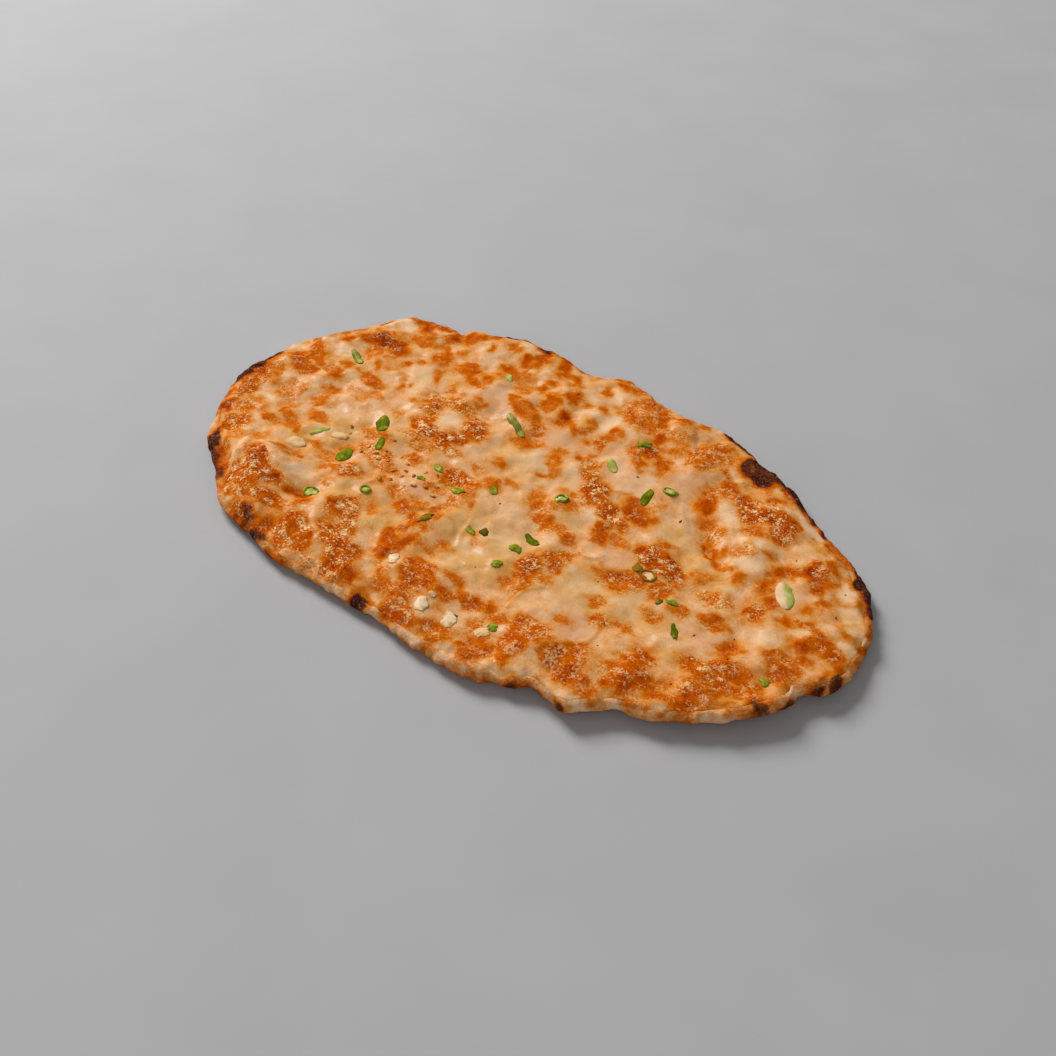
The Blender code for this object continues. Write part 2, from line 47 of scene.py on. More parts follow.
# Browned places of the baked top, in mm: x, y, length, width, turn in degrees,
# how deeply browned from 0 to 1, and how grainy its blisters are from 0 to 1
BROWNED = (
    (-15, -62, 4, 8, 0, .6, .3), (-16, -44, 9, 8, 0, .45, .2), (-15, -22, 7, 9, 0, .4, .2),
    (-75, -36, 14, 6, 10, .35, .1), (-64, -20, 6, 10, 0, .35, .1), (30, -32, 8, 6, 0, .35, .1),
    (-58, 42, 5, 6, 0, .5, .2), (80, 34, 5, 5, 0, .5, .3), (-22, 28, 8, 6, 0, .35, .1),
    (133, -8, 6, 4, 0, .5, .1), (113, -60, 34, 5, 28, .42, .1),
    # left end
    (-120, -13, 14, 13, 0, .34, .4), (-128, -36, 10, 9, 0, .38, .5), (-97, 3, 14, 8, -20, .26, .2),
    (-127, 1, 12, 8, 0, .70, .3), (-107, -3, 7, 6, 0, .60, .2), (-136, -8, 8, 7, 0, .45, .3),
    (-136, -22, 9, 22, 8, .60, .7), (-106, -28, 15, 5, -25, .60, .2), (-112, -34, 9, 4, 0, .62, .2),
    (-122, -45, 12, 11, 0, .62, .9), (-105, -48, 6, 5, 0, .60, .3), (-132, 13, 17, 6, -55, .62, .3),
    (-127, 10, 10, 5, -45, .68, .2), (-131, 3, 14, 8, -30, .72, .4), (-116, 16, 6.5, 5, -45, .70, .1),
    (-115, 7, 11, 7, -20, .62, .3), (-98, 12.5, 14, 6, -12, .68, .2), (-105, 14, 6, 2.5, -15, .5, .1),
    (-133, -40, 6, 5, 0, .8, .4), (-141, -12, 5, 12, 0, .6, .5), (-127, -31, 10, 8, 20, .35, .3),
    (-96, -20, 10, 8, 0, .45, .1), (-113, -20, 8, 6, 0, .45, .1), (-125, -36, 8, 7, 0, .55, .3),
    (-139, -33, 6, 8, 0, .6, .4), (-113, -52, 10, 6, 0, .5, .3), (-87, 6, 8, 5, 0, .42, .1),
    (-85, -34, 7, 5, 0, .42, .1),
    # far left
    (-103, 66, 17, 8, -5, .75, .3), (-92.5, 62, 10, 4.5, 80, .85, .1), (-106.5, 59, 10, 5, -60, .85, .1),
    (-105, 51.5, 7, 5, 0, .70, .1), (-99, 53, 14, 10, 0, .50, .1), (-85.5, 67, 11, 6, -62, .70, .1),
    (-85, 47.5, 18, 5, -52, .60, .1), (-88, 43.5, 6, 3, -50, .65, .1), (-112, 40, 18, 13, -10, .85, .5),
    (-109, 47, 9, 5, 0, .65, .1), (-120, 47.5, 4, 3.5, 0, .75, 0), (-120, 34, 7, 5, 0, .75, .1),
    (-126, 28.5, 5, 4.5, 0, .65, 0), (-104, 37, 6, 8, 0, .75, .2), (-94, 33, 6, 5, 0, .62, 0),
    (-91, 38, 5, 3, 0, .55, 0), (-70, 46, 13, 10, -35, .64, .1), (-64, 41.5, 8, 4, -20, .70, 0),
    (-82, 53.5, 6, 5, 0, .52, 0), (-77, 75, 5, 5, 0, .75, 0), (-81, 71, 6, 4, -30, .70, 0),
    (-72, 64.5, 7, 3.5, -70, .65, 0), (-65, 73, 7, 5, 0, .50, 0), (-57, 58.5, 7, 5.5, 0, .66, 0),
    (-55, 69, 11, 6, -60, .82, 0), (-51, 74.5, 8, 7, 0, .72, .1), (-59, 46, 6, 5, -30, .72, 0),
    (-85, 19, 8, 3, -55, .48, 0), (-82, 21.5, 3, 2.5, 0, .52, 0), (-104, 23, 8, 2.5, -50, .52, 0),
    (-73, 14.5, 3, 3, 0, .62, 0), (-78, 34, 11, 3.5, -50, .46, 0), (-115, 62, 14, 4, 15, .52, .1),
    (-126, 52, 4, 6, 0, .58, 0), (-130, 39, 5, 6, 60, .76, 0), (-134, 33, 4, 7, 60, .55, 0),
    (-138, 28, 5, 4, 0, .75, 0), (-140, 22, 4, 6, 0, .6, 0), (-100, 28, 16, 9, 0, .28, 0),
    (-90, 25, 6, 3, 30, .35, 0), (-95, 58, 6, 5, 0, .55, .1),
    # browned ring left of the middle
    (-62, -21, 16, 7, -15, .32, .3), (-50, -26, 10, 6, 20, .34, .3), (-18, -22, 7, 14, 0, .36, .4),
    (-50, -7, 12, 6, 0, .45, .5), (14, -3, 8, 9, -30, .4, .3), (20, -11, 9, 7, 0, .5, .3),
    (33, -40, 7, 18, 0, .36, .5), (72, 28, 9, 10, -40, .36, .5), (46, 27, 9, 10, 0, .3, .2),
    (-24, 32, 16, 7, -20, .26, .1), (-112, 30, 9, 12, 0, .3, .2), (-60, 28, 8, 10, 0, .26, .1),
    (-68, 20, 10, 9, 0, .50, .8), (-63, 12, 9, 13, 0, .58, .9), (-57, 4, 17, 11, -30, .76, 1),
    (-46, 5, 18, 11, 20, .80, 1), (-40, 14, 14, 11, -30, .76, .9), (-55, 24, 15, 7, 0, .52, .8),
    (-44, 21, 11, 7, -20, .58, .7), (-52, 33, 3, 2.5, 0, .72, 0), (-48, 31, 2.5, 2, 0, .62, 0),
    (-51, 29, 4, 3, 0, .55, 0), (-72, 3, 6, 5, 0, .35, .4), (-58, -4, 9, 5, 0, .4, .8),
    (-43, -2, 17, 5, 5, .55, .9), (-47, -14, 9, 5, 0, .62, .4), (-25, -11, 17, 8, 0, .68, .9),
    (-28, -17, 8, 4, 0, .6, .8), (-27, -23, 6, 4, 0, .5, .9), (-31, -23, 3, 3, 0, .75, .5),
    (-12, -6, 7, 6, 0, .60, .1), (-22, -3, 6, 5, 0, .4, .2), (-10.5, -21, 8, 3, -60, .60, .2),
    (-70, -13, 16, 8, 0, .42, .4), (-60, -23, 26, 9, -15, .42, .7), (-17, -30, 7, 22, 5, .4, .2),
    (-22, -57, 5, 14, 40, .72, .1), (-18, -63.5, 6, 4, -40, 1, 0), (-14.5, -56, 4, 10, 0, .8, .2),
    (-38, -48, 8, 6, 0, .5, .2),
    (-61, -65, 5, 7, 0, .6, .2), (-72, -28, 8, 7, 0, .45, .2), (-100, -32, 8, 5, 0, .5, .1),
    (-105, -12, 8, 6, 0, .42, .1), (-27, -34, 8, 5, 0, .5, .2), (-19, -43, 6, 7, 0, .5, .2),
    (-48, -33, 7, 5, 0, .5, .2), (5, -34, 9, 5, 0, .42, .1), (-16, -15, 6, 12, 0, .46, .2),
    (-51, 69, 6, 6, 0, .7, .1), (-67, 32, 6, 8, 0, .4, .1),
    # far middle
    (-39, 76, 9, 6, -55, .82, 0), (-36, 71, 5, 4, 0, .70, 0), (-42, 82, 4, 3, 0, .75, 0),
    (-35, 84, 5, 3, -30, .65, 0), (-32, 81, 6, 3, 0, .72, 0), (-30, 72, 8, 4, -50, .75, 0),
    (-28, 67.5, 6, 3, -60, .65, 0), (-23, 61, 11, 7, -65, .82, .1), (-26, 63, 5, 4, 0, .70, 0),
    (-14.5, 61, 5, 3, 0, .50, 0), (-14, 75, 6, 4, -60, .60, 0), (-36, 63, 4, 3, 0, .60, 0),
    (-37, 56, 5, 4, 0, .62, 0), (-28, 53.5, 7, 6, -30, .70, 0), (-27, 48, 9, 7, -50, .52, .1),
    (-17, 47, 6, 5, 0, .95, 0), (-16, 43, 6, 4, 20, .70, .3), (-10, 44, 9, 3, -45, .60, 0),
    (-33, 40, 23, 9, -20, .56, .1), (-35, 38.5, 9, 4, -35, .66, 0), (-8, 63.5, 3, 2.5, 0, .92, 0),
    (-3, 67.5, 5, 4, -20, .72, 0), (-2, 72, 3, 2.5, 0, .62, 0), (4.5, 54.5, 3, 3.5, 0, .78, 0),
    (4, 67, 9, 4, -40, .70, .1), (15, 74, 9, 10, 0, .62, .4), (14, 67, 11, 7, -30, .58, .4),
    (10, 80, 7, 7, -40, .52, .3), (-4, 83, 9, 5, -20, .52, .2), (-10, 81, 6, 4.5, -20, .62, 0),
    (-14, 86, 8, 4, 0, .52, 0), (24, 77, 7, 6, 0, .76, .2), (25, 83.5, 3, 2.5, 0, .80, 0),
    (32, 82, 5, 5, 0, .72, .2), (22, 62, 6, 4, -50, .82, .1), (19, 68, 9, 5, -40, .55, .3),
    (24, 53, 11, 8, -40, .86, .5), (21, 49, 7, 9, -40, .62, .6), (32, 49, 10, 7, -30, .72, .3),
    (25, 43, 9, 5, -45, .56, .3), (35, 43, 5, 4, 0, .46, .2), (6, 50, 5, 9, -40, .50, .3),
    (5, 44, 7, 7, 0, .46, .5), (-5, 46, 5, 9, -45, .42, .2), (-6, 51, 5, 4, 0, .50, .1),
    (0, 40, 3, 2.5, 0, .76, 0), (4, 30, 3, 2.5, 0, .76, 0), (7, 35.5, 3, 6, 0, .50, .2),
    (-4, 28, 7, 4, 0, .56, .1), (-3, 22, 11, 6, -60, .56, .1), (-20, 23, 10, 7, 0, .62, .1),
    (-15, 27, 6, 6, 0, .50, .1), (-20, 33, 9, 5, -60, .62, .4), (-41, 23, 2.5, 2, 0, .7, 0),
    (8, 72, 22, 22, -30, .36, .4), (-2, 11.5, 5, 3, 0, .50, 0), (3, 15.5, 6, 7, 0, .46, .1),
    (28, 70, 10, 14, -30, .36, .3), (33, 62, 8, 8, -30, .3, .3), (-48, 58, 12, 10, 0, .4, .1),
    (-42, 52, 9, 8, -30, .42, .1), (-57, 52, 7, 6, 0, .38, 0), (-45, 66, 6, 8, -40, .35, 0),
    # streaks and ring of the middle
    (10, 28, 8, 9, 0, .50, .8), (15, 24, 11, 8, -30, .62, .9), (22, 17, 13, 10, -30, .76, 1),
    (31, 12, 13, 8, -30, .72, 1), (37, 9, 8, 6, 0, .62, .9), (24, 11, 7, 7, 0, .62, .8),
    (42, 17, 12, 10, -20, .76, .3), (41, 15, 5, 4, 0, .96, 0), (37, 21, 5, 4.5, 0, .72, .1),
    (45, 14, 7, 5, -20, .82, .1), (49, 18, 3, 3, 0, .62, 0), (37, 1.5, 6, 7, 0, .80, .3),
    (42, 8, 10, 6, -60, .62, .4), (-19.5, 5, 6, 6, 0, .6, 0), (-8, 0, 7, 3, 0, .50, .1),
    (19, 3, 9, 7, 0, .52, .2), (14, 9, 9, 5, 0, .42, .1), (6, 0, 8, 7, 0, .60, .2),
    (8, -4, 8, 6, 0, .66, .3), (16, -9, 9, 6, 0, .62, .3), (29, -11, 11, 5, -25, .58, .3),
    (34, -23, 8, 12, -20, .62, .8), (28, -33, 8, 11, 0, .84, .9), (37, -27, 7, 7, 0, .62, .4),
    (27, -45, 6, 5, 0, .58, .2), (30, -39, 8, 4, 0, .88, .3), (-3, -45, 6, 5, 0, .52, .2),
    (-8, -51, 9, 4, 0, .58, .2), (-31, -39, 9, 6, 0, .62, .4), (-22, -42, 9, 5, -45, .62, .4),
    (-21, -48, 4, 7, 0, .68, .3), (-21, -57, 9, 9, 0, .60, .3), (-15, -54, 4, 7, 0, .80, .2),
    (-25, -53, 4, 4, 0, .86, 0), (-38, -33, 10, 6, 10, .4, .4), (38, -34, 6, 6, 0, .45, .2),
    # front left: the bubble and the mounds
    (-97, -56, 7, 7, 0, .60, .6), (-86, -60, 24, 11, -20, .80, .9), (-90, -68, 21, 12, -15, .70, 1),
    (-77, -63, 8, 7, 0, .62, .7), (-92, -76, 11, 7, 0, .40, .9), (-82, -74, 9, 7, 0, .55, .9),
    (-72, -72, 15, 7, 0, .68, .8), (-55, -75, 11, 11, 0, .72, .8), (-50, -80, 20, 12, 0, .66, .9),
    (-46, -57, 20, 13, -50, .64, 1), (-39, -66, 24, 15, -50, .60, 1), (-28, -77, 20, 13, -50, .74, .9),
    (-62, -37, 10, 8, 0, .68, .8), (-92, -47, 9, 4, 0, .58, .3), (-86, -44, 9, 4, 0, .50, .2),
    (-70, -41, 8, 6, 0, .5, .2), (-64, -49, 4, 4, 0, .56, 0), (-68, -61, 13, 5, 0, .66, .1),
    (-105, -66, 9, 8, 0, .62, .8), (-112, -60, 5, 14, 25, .6, .6), (-76, -82, 13, 7, 0, .74, .8),
    (-63, -82, 7, 6, 0, .72, .4), (-70, -62, 3, 4, 0, .92, 0), (-102, -30, 3, 3, 0, .86, 0),
    (-26, -77, 11, 17, 0, .66, .5), (-35, -85, 12, 6, 0, .36, .8), (-19, -81, 8, 8, 0, .84, .2),
    (-32, -56, 8, 8, 0, .42, .6), (-45, -45, 7, 5, 0, .35, .3),
    # along the front
    (12, -57, 9, 4, 0, .50, .2), (-2, -60, 15, 7, 0, .64, .5), (2, -66, 15, 11, 0, .68, .6),
    (15, -66, 7, 7, 0, .60, .3), (24, -61, 15, 6, 0, .60, .4), (-6, -76, 11, 7, 0, .60, .4),
    (4, -76, 11, 9, 0, .64, .5), (8, -82, 15, 9, 0, .62, .6), (25, -80, 13, 9, 0, .64, .5),
    (40, -78, 12, 14, 0, .72, .4), (-18, -63, 6, 4, 0, .85, .1), (32, -59.5, 5, 4, 0, .86, 0),
    (50, -60, 17, 12, 0, .66, .6), (67, -63, 15, 13, 0, .66, .6), (73, -67, 12, 10, 0, .80, .5),
    (50, -67, 11, 14, 0, .62, .5), (51, -75, 9, 7, 0, .58, .3), (60, -74, 12, 8, 0, .46, .4),
    (87, -45, 14, 11, 0, .64, .6), (92, -52, 17, 11, 0, .66, .6), (86, -58, 14, 11, 0, .64, .6),
    (92, -58, 7, 9, 0, .80, .3), (110, -54, 12, 9, 0, .55, .5), (113, -45, 13, 17, 0, .62, .6),
    (125, -42, 7, 5, 0, .56, .2), (82, -68, 12, 7, 0, .52, .4), (99, -63, 12, 6, 0, .4, .3),
    (-12, -70, 8, 7, 0, .45, .4), (34, -69, 8, 8, 0, .45, .4), (70, -56, 8, 8, 0, .5, .6),
    # right of the middle
    (38, -2, 8, 9, 0, .62, .3), (50, -18, 7, 4, 0, .5, .2), (66, 0, 22, 12, -12, .80, .9),
    (59, 3, 4.5, 5, 0, .74, .5), (65, 9, 9, 6, 0, .58, .3), (63, -13, 9, 8, 0, .64, .4),
    (60, -17, 13, 10, 0, .66, .6), (74, -12, 9, 9, 0, .66, .6), (92, -2, 14, 8, 0, .40, .8),
    (98, -13, 9, 7, 0, .64, .2), (106, 1, 9, 8, 0, .72, .6), (66, -38, 7, 5, 0, .56, .8),
    (59, -31, 6, 6, 0, .52, .3), (75, -36, 9, 5, 0, .50, .2), (55, -47, 6, 4, 0, .50, .2),
    (81, 4, 5, 5, 0, .56, .1), (84, 7, 9, 3, 20, .46, .1), (70, -56, 6, 3, 0, .85, .1),
    (40, -4.5, 4, 4, 0, .85, .2), (79, -24, 10, 6, -10, .42, .3), (84, -16, 8, 6, 0, .5, .4),
    (75, -4, 8, 6, -20, .6, .6),
    (101, -48, 8, 5, 0, .5, .3), (47, 0, 9, 6, 0, .5, .2), (38, -61, 8, 6, 0, .55, .3),
    (102, -55, 9, 6, 0, .55, .3), (122, -37, 7, 6, 0, .55, .4), (72, -61, 8, 7, 0, .6, .4),
    (31, 58, 7, 6, 0, .5, .2), (52, -20, 5, 4, 0, .5, .2),
    # right end
    (110, -20, 8, 9, 0, .70, .2), (116, -29, 17, 8, 8, .68, .6), (105, -35, 11, 8, 0, .66, .9),
    (114, -36, 12, 8, 0, .64, .9), (126, -32, 9, 8, 0, .55, .4), (130, -20, 9, 8, 0, .60, .4),
    (128, -14, 14, 12, 0, .56, .5), (136, 1, 15, 8, -8, .68, .5), (128, 6, 17, 5, -15, .52, .3),
    (129, -3, 5, 4, 0, .84, .1), (109, 9, 7, 7, -30, .76, .3), (118, 4, 4, 4, -40, .66, 0),
    (93, 12.5, 5, 5, 0, .62, .1), (103, 14, 6, 5, 0, .66, .2), (102, 20, 11, 4, -70, .52, .1),
    (103, 26, 4.5, 5.5, 0, .95, 0), (106.5, 28, 7, 6, 0, .60, .2), (117, 40, 9, 6, -60, .86, .2),
    (113, 35, 14, 9, -20, .86, .7), (118, 28, 8, 7, -45, .80, .4), (110, 31, 7, 5, 0, .62, .5),
    (124, 22, 8, 5.5, -65, .72, .1), (122, 31, 11, 5, -70, .52, .1), (121.5, 15, 3, 4, 0, .82, 0),
    (113, 50, 13, 7, -25, .58, .2), (118, 48, 7, 9, 0, .58, .2), (129.5, 27.5, 2.5, 2.5, 0, .82, 0),
    (134.5, 28, 4, 5, 0, .96, 0), (145, 11.5, 5, 5, 0, .86, 0), (143, 19, 7, 6, 0, .52, .1),
    (134.5, 21, 5, 4, 0, .5, 0), (139, 12, 7, 4, 0, .48, 0), (132, 36, 13, 5, -42, .5, .2),
    (96, 30.5, 5, 5, 0, .66, .1), (83, 36.5, 8, 8, 0, .68, .5), (86, 38.5, 4, 4, 0, .62, .2),
    (81, 22, 3, 4, 0, .60, 0), (88, 27, 9, 7, 0, .50, .6), (86, 23, 7, 5, 0, .42, .6),
    # far right
    (71, 51, 10, 8, -20, .72, .9), (78, 47, 14, 11, -20, .76, 1), (88, 50, 18, 10, -10, .80, 1),
    (93, 43, 10, 10, -60, .76, .9), (95, 51, 5, 6, 0, .76, .4), (85, 55, 14, 6, -30, .52, .9),
    (74, 54, 9, 6, 0, .60, .9), (80.5, 59, 4, 3.5, 0, .76, 0), (93.5, 57, 5, 3, 0, .86, 0),
    (103, 58, 4, 4, 0, .80, 0), (84.5, 61.5, 3, 3, 0, .52, 0), (104, 50.5, 3, 2.5, 0, .6, 0),
    (56, 62, 9, 6, 0, .62, .4), (62, 55, 9, 7, 0, .76, .3), (61, 51, 7, 7, -30, .52, .6),
    (59, 47, 9, 5, -60, .52, .5), (60, 40, 10, 6, -65, .90, .1), (57, 45, 5, 6, 0, .62, .2),
    (67, 31.5, 7, 6, -40, .72, .1), (76, 19, 13, 4.5, -38, .80, .1), (81, 15, 6, 4, -30, .66, .1),
    (86, 13.5, 9, 3, 20, .38, .1), (73, 26, 9, 4, -45, .38, .1), (80, 68, 17, 4, -30, .76, .3),
    (71, 65, 10, 5, -30, .66, .2), (95, 62, 7, 4, -20, .85, .2), (46, 70, 11, 15, 0, .62, .6),
    (50, 66, 9, 15, 0, .52, .6), (42, 63, 11, 15, 0, .52, .6), (46, 57, 7, 9, 0, .46, .6),
    (53, 73, 6, 4, 0, .62, .2), (63, 64, 9, 4, -50, .62, .3), (70, 60, 10, 5, 0, .42, .5),
)

# Bare places, still white, between and inside the browned ones: x, y, length, width, turn, how bare
BARE = (
    (-103.5, -59.5, 19, 3.4, -70, 1), (-86, -55, 33, 3.6, -20.4, .85),
    (13, -75, 9, 8, 0, .9), (22, -70, 12, 6, -55, .8), (-10.5, -63.5, 5.5, 7, 0, .8), (37, -70, 6, 7, 0, .8),
    (16, -76, 7, 10, 0, .9), (-36, -80, 10, 6, -20, .4), (-56, -63, 4.5, 12, 10, .7),
    (-74, -67, 6, 5, 0, .5),
    (-31, -57, 10, 18, 35, .7), (-15.5, -75, 8, 7, 0, .6), (-54, -51, 7, 8, 0, .8), (60, -75, 11, 10, 0, .9),
    (76, 35, 22, 5, -48, .7), (70, 42, 8, 8, -45, .6), (128, 34, 6, 18, 20, .6), (92, 18, 16, 6, -10, .6),
    (-50, 10, 13, 11, 0, .9), (-5, 68, 8, 9, -30, .4), (0, 58, 8, 12, -20, .6), (137, 21, 13, 15, 20, .8),
    (-68, 60, 8, 11, -50, .6), (-108, 54, 12, 7, 0, .5), (-122, 26, 8, 14, -30, .7),
    (-113, 47, 17, 8, -10, .7),
    (-57, 76, 8, 7, 0, .9), (-45, 58, 8, 8, 0, .6), (66, 61, 22, 8, -25, .7), (98, 56, 18, 7, -30, .9),
    (-118, 19, 8, 9, 0, .9), (-75, 18, 8, 8, 0, .8), (1, 1, 5, 6, 0, .6), (80, -43, 10, 8, 0, .8),
    (-103, -55, 7, 13, 20, .7), (-78, -54, 16, 6, 15, .7), (107, 37, 7, 12, 0, .9), (14, 15, 6, 9, -30, .5),
    (4, 37, 6, 9, 0, .5), (-5, -40, 6, 8, 0, .5), (119, 32, 5, 10, 0, .5), (105, -25, 6, 8, 0, .6),
    (108, -60, 12, 5, 25, .6), (67, 9, 8, 7, 0, .7), (118, -11, 7, 9, 0, .5), (42, -19, 6, 5, 0, .6),
    (-96, 56, 7, 8, 0, .5), (-54, 31, 7, 8, 0, .5), (-79, 43, 5, 10, -50, .5), (-98, 32, 6, 8, 0, .4),
    (89, 58, 10, 6, -30, .8), (126, 28, 9, 11, -50, .8), (133, 9, 8, 5, 0, .5), (-115, -5, 7, 6, 0, .5),
    (-56, -14, 7, 7, 0, .4), (-33, -28, 6, 5, 0, .5), (-47, -44, 7, 6, 0, .6), (-28, -66, 7, 7, 35, .8),
    (40, -73, 6, 6, 0, .5), (59, -55, 10, 6, 0, .4), (82, -60, 5, 11, 0, .5), (128, -43, 7, 5, 0, .5),
    (21, -34, 5, 9, 0, .6), (23, -47, 5, 7, 0, .4), (52, 64, 6, 10, 0, .5), (28, 71, 8, 6, 0, .5),
    (-42, 67, 8, 7, 0, .7), (-27, 64, 7, 7, 0, .8), (-12, 78, 7, 6, 0, .7), (-66, 8, 7, 7, 0, .6),
    (93, 33, 8, 6, 0, .6), (83, 24, 5, 5, 0, .5), (56, 74, 14, 6, -10, .6), (-72, -59, 8, 7, 0, .7),
    (-45, -64, 8, 6, 0, .6), (-90, -42, 7, 5, 20, .6),
)

# Scorched, near-black places of the rim and its blisters: the same, without the grain
SCORCHED = (
    (-144.5, 0, 6, 8, 0, .9), (-146, -8, 6, 14, 0, 1), (-144.5, -20, 6, 14, 8, 1),
    (-121, -58, 14, 5, -58, 1), (-113, -65.5, 13, 5.5, -38, .85), (-104, -71, 11, 5, -26, .8),
    (-133, -40, 5, 4, 0, .4), (-73, -81.5, 14, 4.5, -32, .6), (-62.5, -79, 4, 4.5, 0, .6),
    (-63, -86.5, 11, 3, -8, .9), (-53, -90, 8, 2.5, -8, .8), (-8, -87, 8, 7, 0, 1),
    (-48, -91, 7, 2, 0, .7), (-33, -91.5, 13, 2.4, 0, .8), (20, -90.5, 17, 2.6, 4, .8),
    (57, -86, 7, 4, 0, .95), (60, -83, 6, 5, 0, .8), (67, -79, 6, 4, 0, .8), (80, -80, 10, 4, 0, .9),
    (147, -9, 9, 5, -70, .9), (143, -13, 5, 9, 0, .85), (139, -30, 3, 9, -20, .9), (133, -37, 7, 4, 0, .8),
    (-73, 80, 9, 4.5, 22, 1), (-66, 82.5, 10, 2.6, 5, .65), (-56, 81.5, 10, 3.4, -8, 1),
    (-46, 82, 8, 2.4, 0, .5), (43, 83.5, 4, 4, 0, .9), (51, 81.5, 17, 3.6, -9, 1),
    (65, 72.5, 17, 13, -10, 1), (70, 67, 7, 6, 0, .9), (75, 73, 10, 7, -20, 1), (81, 71.5, 10, 5, -30, 1),
    (87, 68, 12, 3.6, -35, .95), (95, 62.5, 6, 3, -35, .8), (126, 46, 9, 4.5, -60, 1),
    (129, 41, 9, 6, -52, 1), (134, 37, 9, 5, -48, 1), (139, 32, 9, 4, -58, .9),
    (-147, 22, 3, 6, 0, .4), (-141, 27, 3, 5, 0, .4), (-92, 75.5, 4, 2.5, 0, .4),
)

# Smooth places where a pink slice shows through the cheese
PINK = (
    (-27, -28, 20, 10, 15, .9), (-12, -43, 17, 14, 20, .9), (52, -6, 14, 12, 0, .8),
    (60, -47, 18, 16, 0, .9), (100, -20, 16, 10, 0, .7), (-65, -25, 14, 9, 30, .7),
    (25, 33, 22, 14, -10, .8), (-44, 38, 22, 14, 0, .8), (8, 43, 10, 12, 0, .7),
    (-10, 36, 16, 10, 0, .8), (-113, -58, 8, 5, 0, .6), (46, 46, 16, 16, 0, .6),
    (-95, 5, 16, 8, 0, .5), (-30, 3, 14, 8, 0, .6), (-88, 36, 16, 12, 0, .4), (100, 50, 10, 12, 0, .5),
    (48, -36, 14, 10, 0, .6), (10, -22, 12, 6, 0, .4), (118, 20, 8, 10, 0, .6), (12, 15, 10, 12, -50, .5),
)

# Pale, plump places where the cheese has barely taken colour
PALE = (
    (132, 30, 10, 24, 20, 1), (140, 12, 9, 14, 10, .9), (118, 43, 12, 10, -40, .8),
    (110, 50, 14, 8, -30, .8),
    (98, 57, 16, 8, -30, .7), (118, -55, 26, 8, 30, .3), (104, -63, 16, 6, 20, .3), (60, -80, 24, 8, 10, .6),
    (30, -86, 36, 7, 4, .6), (-30, -87, 34, 7, 0, .5), (-60, -84, 26, 6, -10, .5),
    (-102, -62, 8, 14, 20, .7),
    (-141, 10, 12, 5.5, 80, 1), (-118, 54, 13, 9, 20, .9), (-122, 20, 13, 8, -50, .8),
    (-71, 62, 17, 9, -50, .9), (-84, 27, 20, 9, -55, .8), (-108, 9, 10, 6, 0, .7),
    (-60, 77, 9, 6, 0, .8), (-52, 14, 10, 8, 0, .9), (-8, 57, 12, 9, 0, .5), (0, 58, 6, 16, 0, .8),
    (8, 22, 12, 10, -50, .7), (-7, 17, 14, 14, 0, .6), (88, 31, 20, 9, -25, .9), (70, 40, 12, 5, -45, .8),
    (92, 20, 14, 8, 10, .8), (140, 17, 8, 7, 0, .8), (128, 36, 5, 12, 10, .6), (95, -66, 12, 5, 15, .5),
    (78, -76, 14, 5, 0, .8), (105, -64, 10, 5, 25, .3), (46, -81, 5, 16, -20, .9), (-113, -52, 9, 6, 30, .7),
    (-104, -58, 4, 16, 20, .8), (-30, 76, 6, 8, 0, .6), (-45, 67, 8, 7, 0, .6), (-5, 74, 12, 7, -20, .5),
    (-66, 10, 6, 8, 0, .2), (30, 5, 12, 6, 0, .7), (50, -25, 20, 8, 0, .5), (12, -30, 16, 12, 0, .4),
    (-36, -52, 18, 10, 0, .5), (70, -25, 14, 7, 0, .4), (60, 63, 9, 7, 0, .7), (75, 62, 8, 6, 0, .7),
    (56, 70, 6, 6, 0, .6), (120, -8, 14, 6, 0, .4), (-78, -52, 20, 6, 15, .6), (-3, -88, 8, 3, 0, .7),
)

# Buttery yellow places
YELLOW = (
    (-20, 12, 12, 8, 0, .5), (62, 18, 10, 8, 0, .8), (94, -37, 9, 5, 0, .9), (134, 22, 7, 5, 0, .9),
    (140, 13, 8, 5, 0, .8), (106, 47, 9, 7, 0, .7), (25, -4, 12, 6, 0, .5), (80, -28, 14, 7, 0, .9),
    (60, -30, 12, 8, 0, .6), (-93, -35, 14, 7, 0, .8), (12, -44, 16, 10, 0, .6), (38, -34, 12, 6, 0, .4),
    (82, -24, 9, 5, 0, .8), (-80, -12, 14, 8, 20, .4), (87, 28, 5, 5, 0, .7), (-85, 30, 12, 8, 0, .4),
    (62, -63, 9, 5, 0, .7), (134, -6, 8, 5, 0, .5), (-70, 34, 12, 8, -30, .5),
    (5, -36, 70, 34, 0, .6), (-42, -50, 40, 18, 0, .6), (-80, -20, 44, 22, 20, .5), (50, -28, 70, 22, 0, .5),
    (-10, 14, 40, 20, 0, .4), (-60, -10, 40, 16, 20, .4), (80, 10, 34, 18, -20, .4),
)

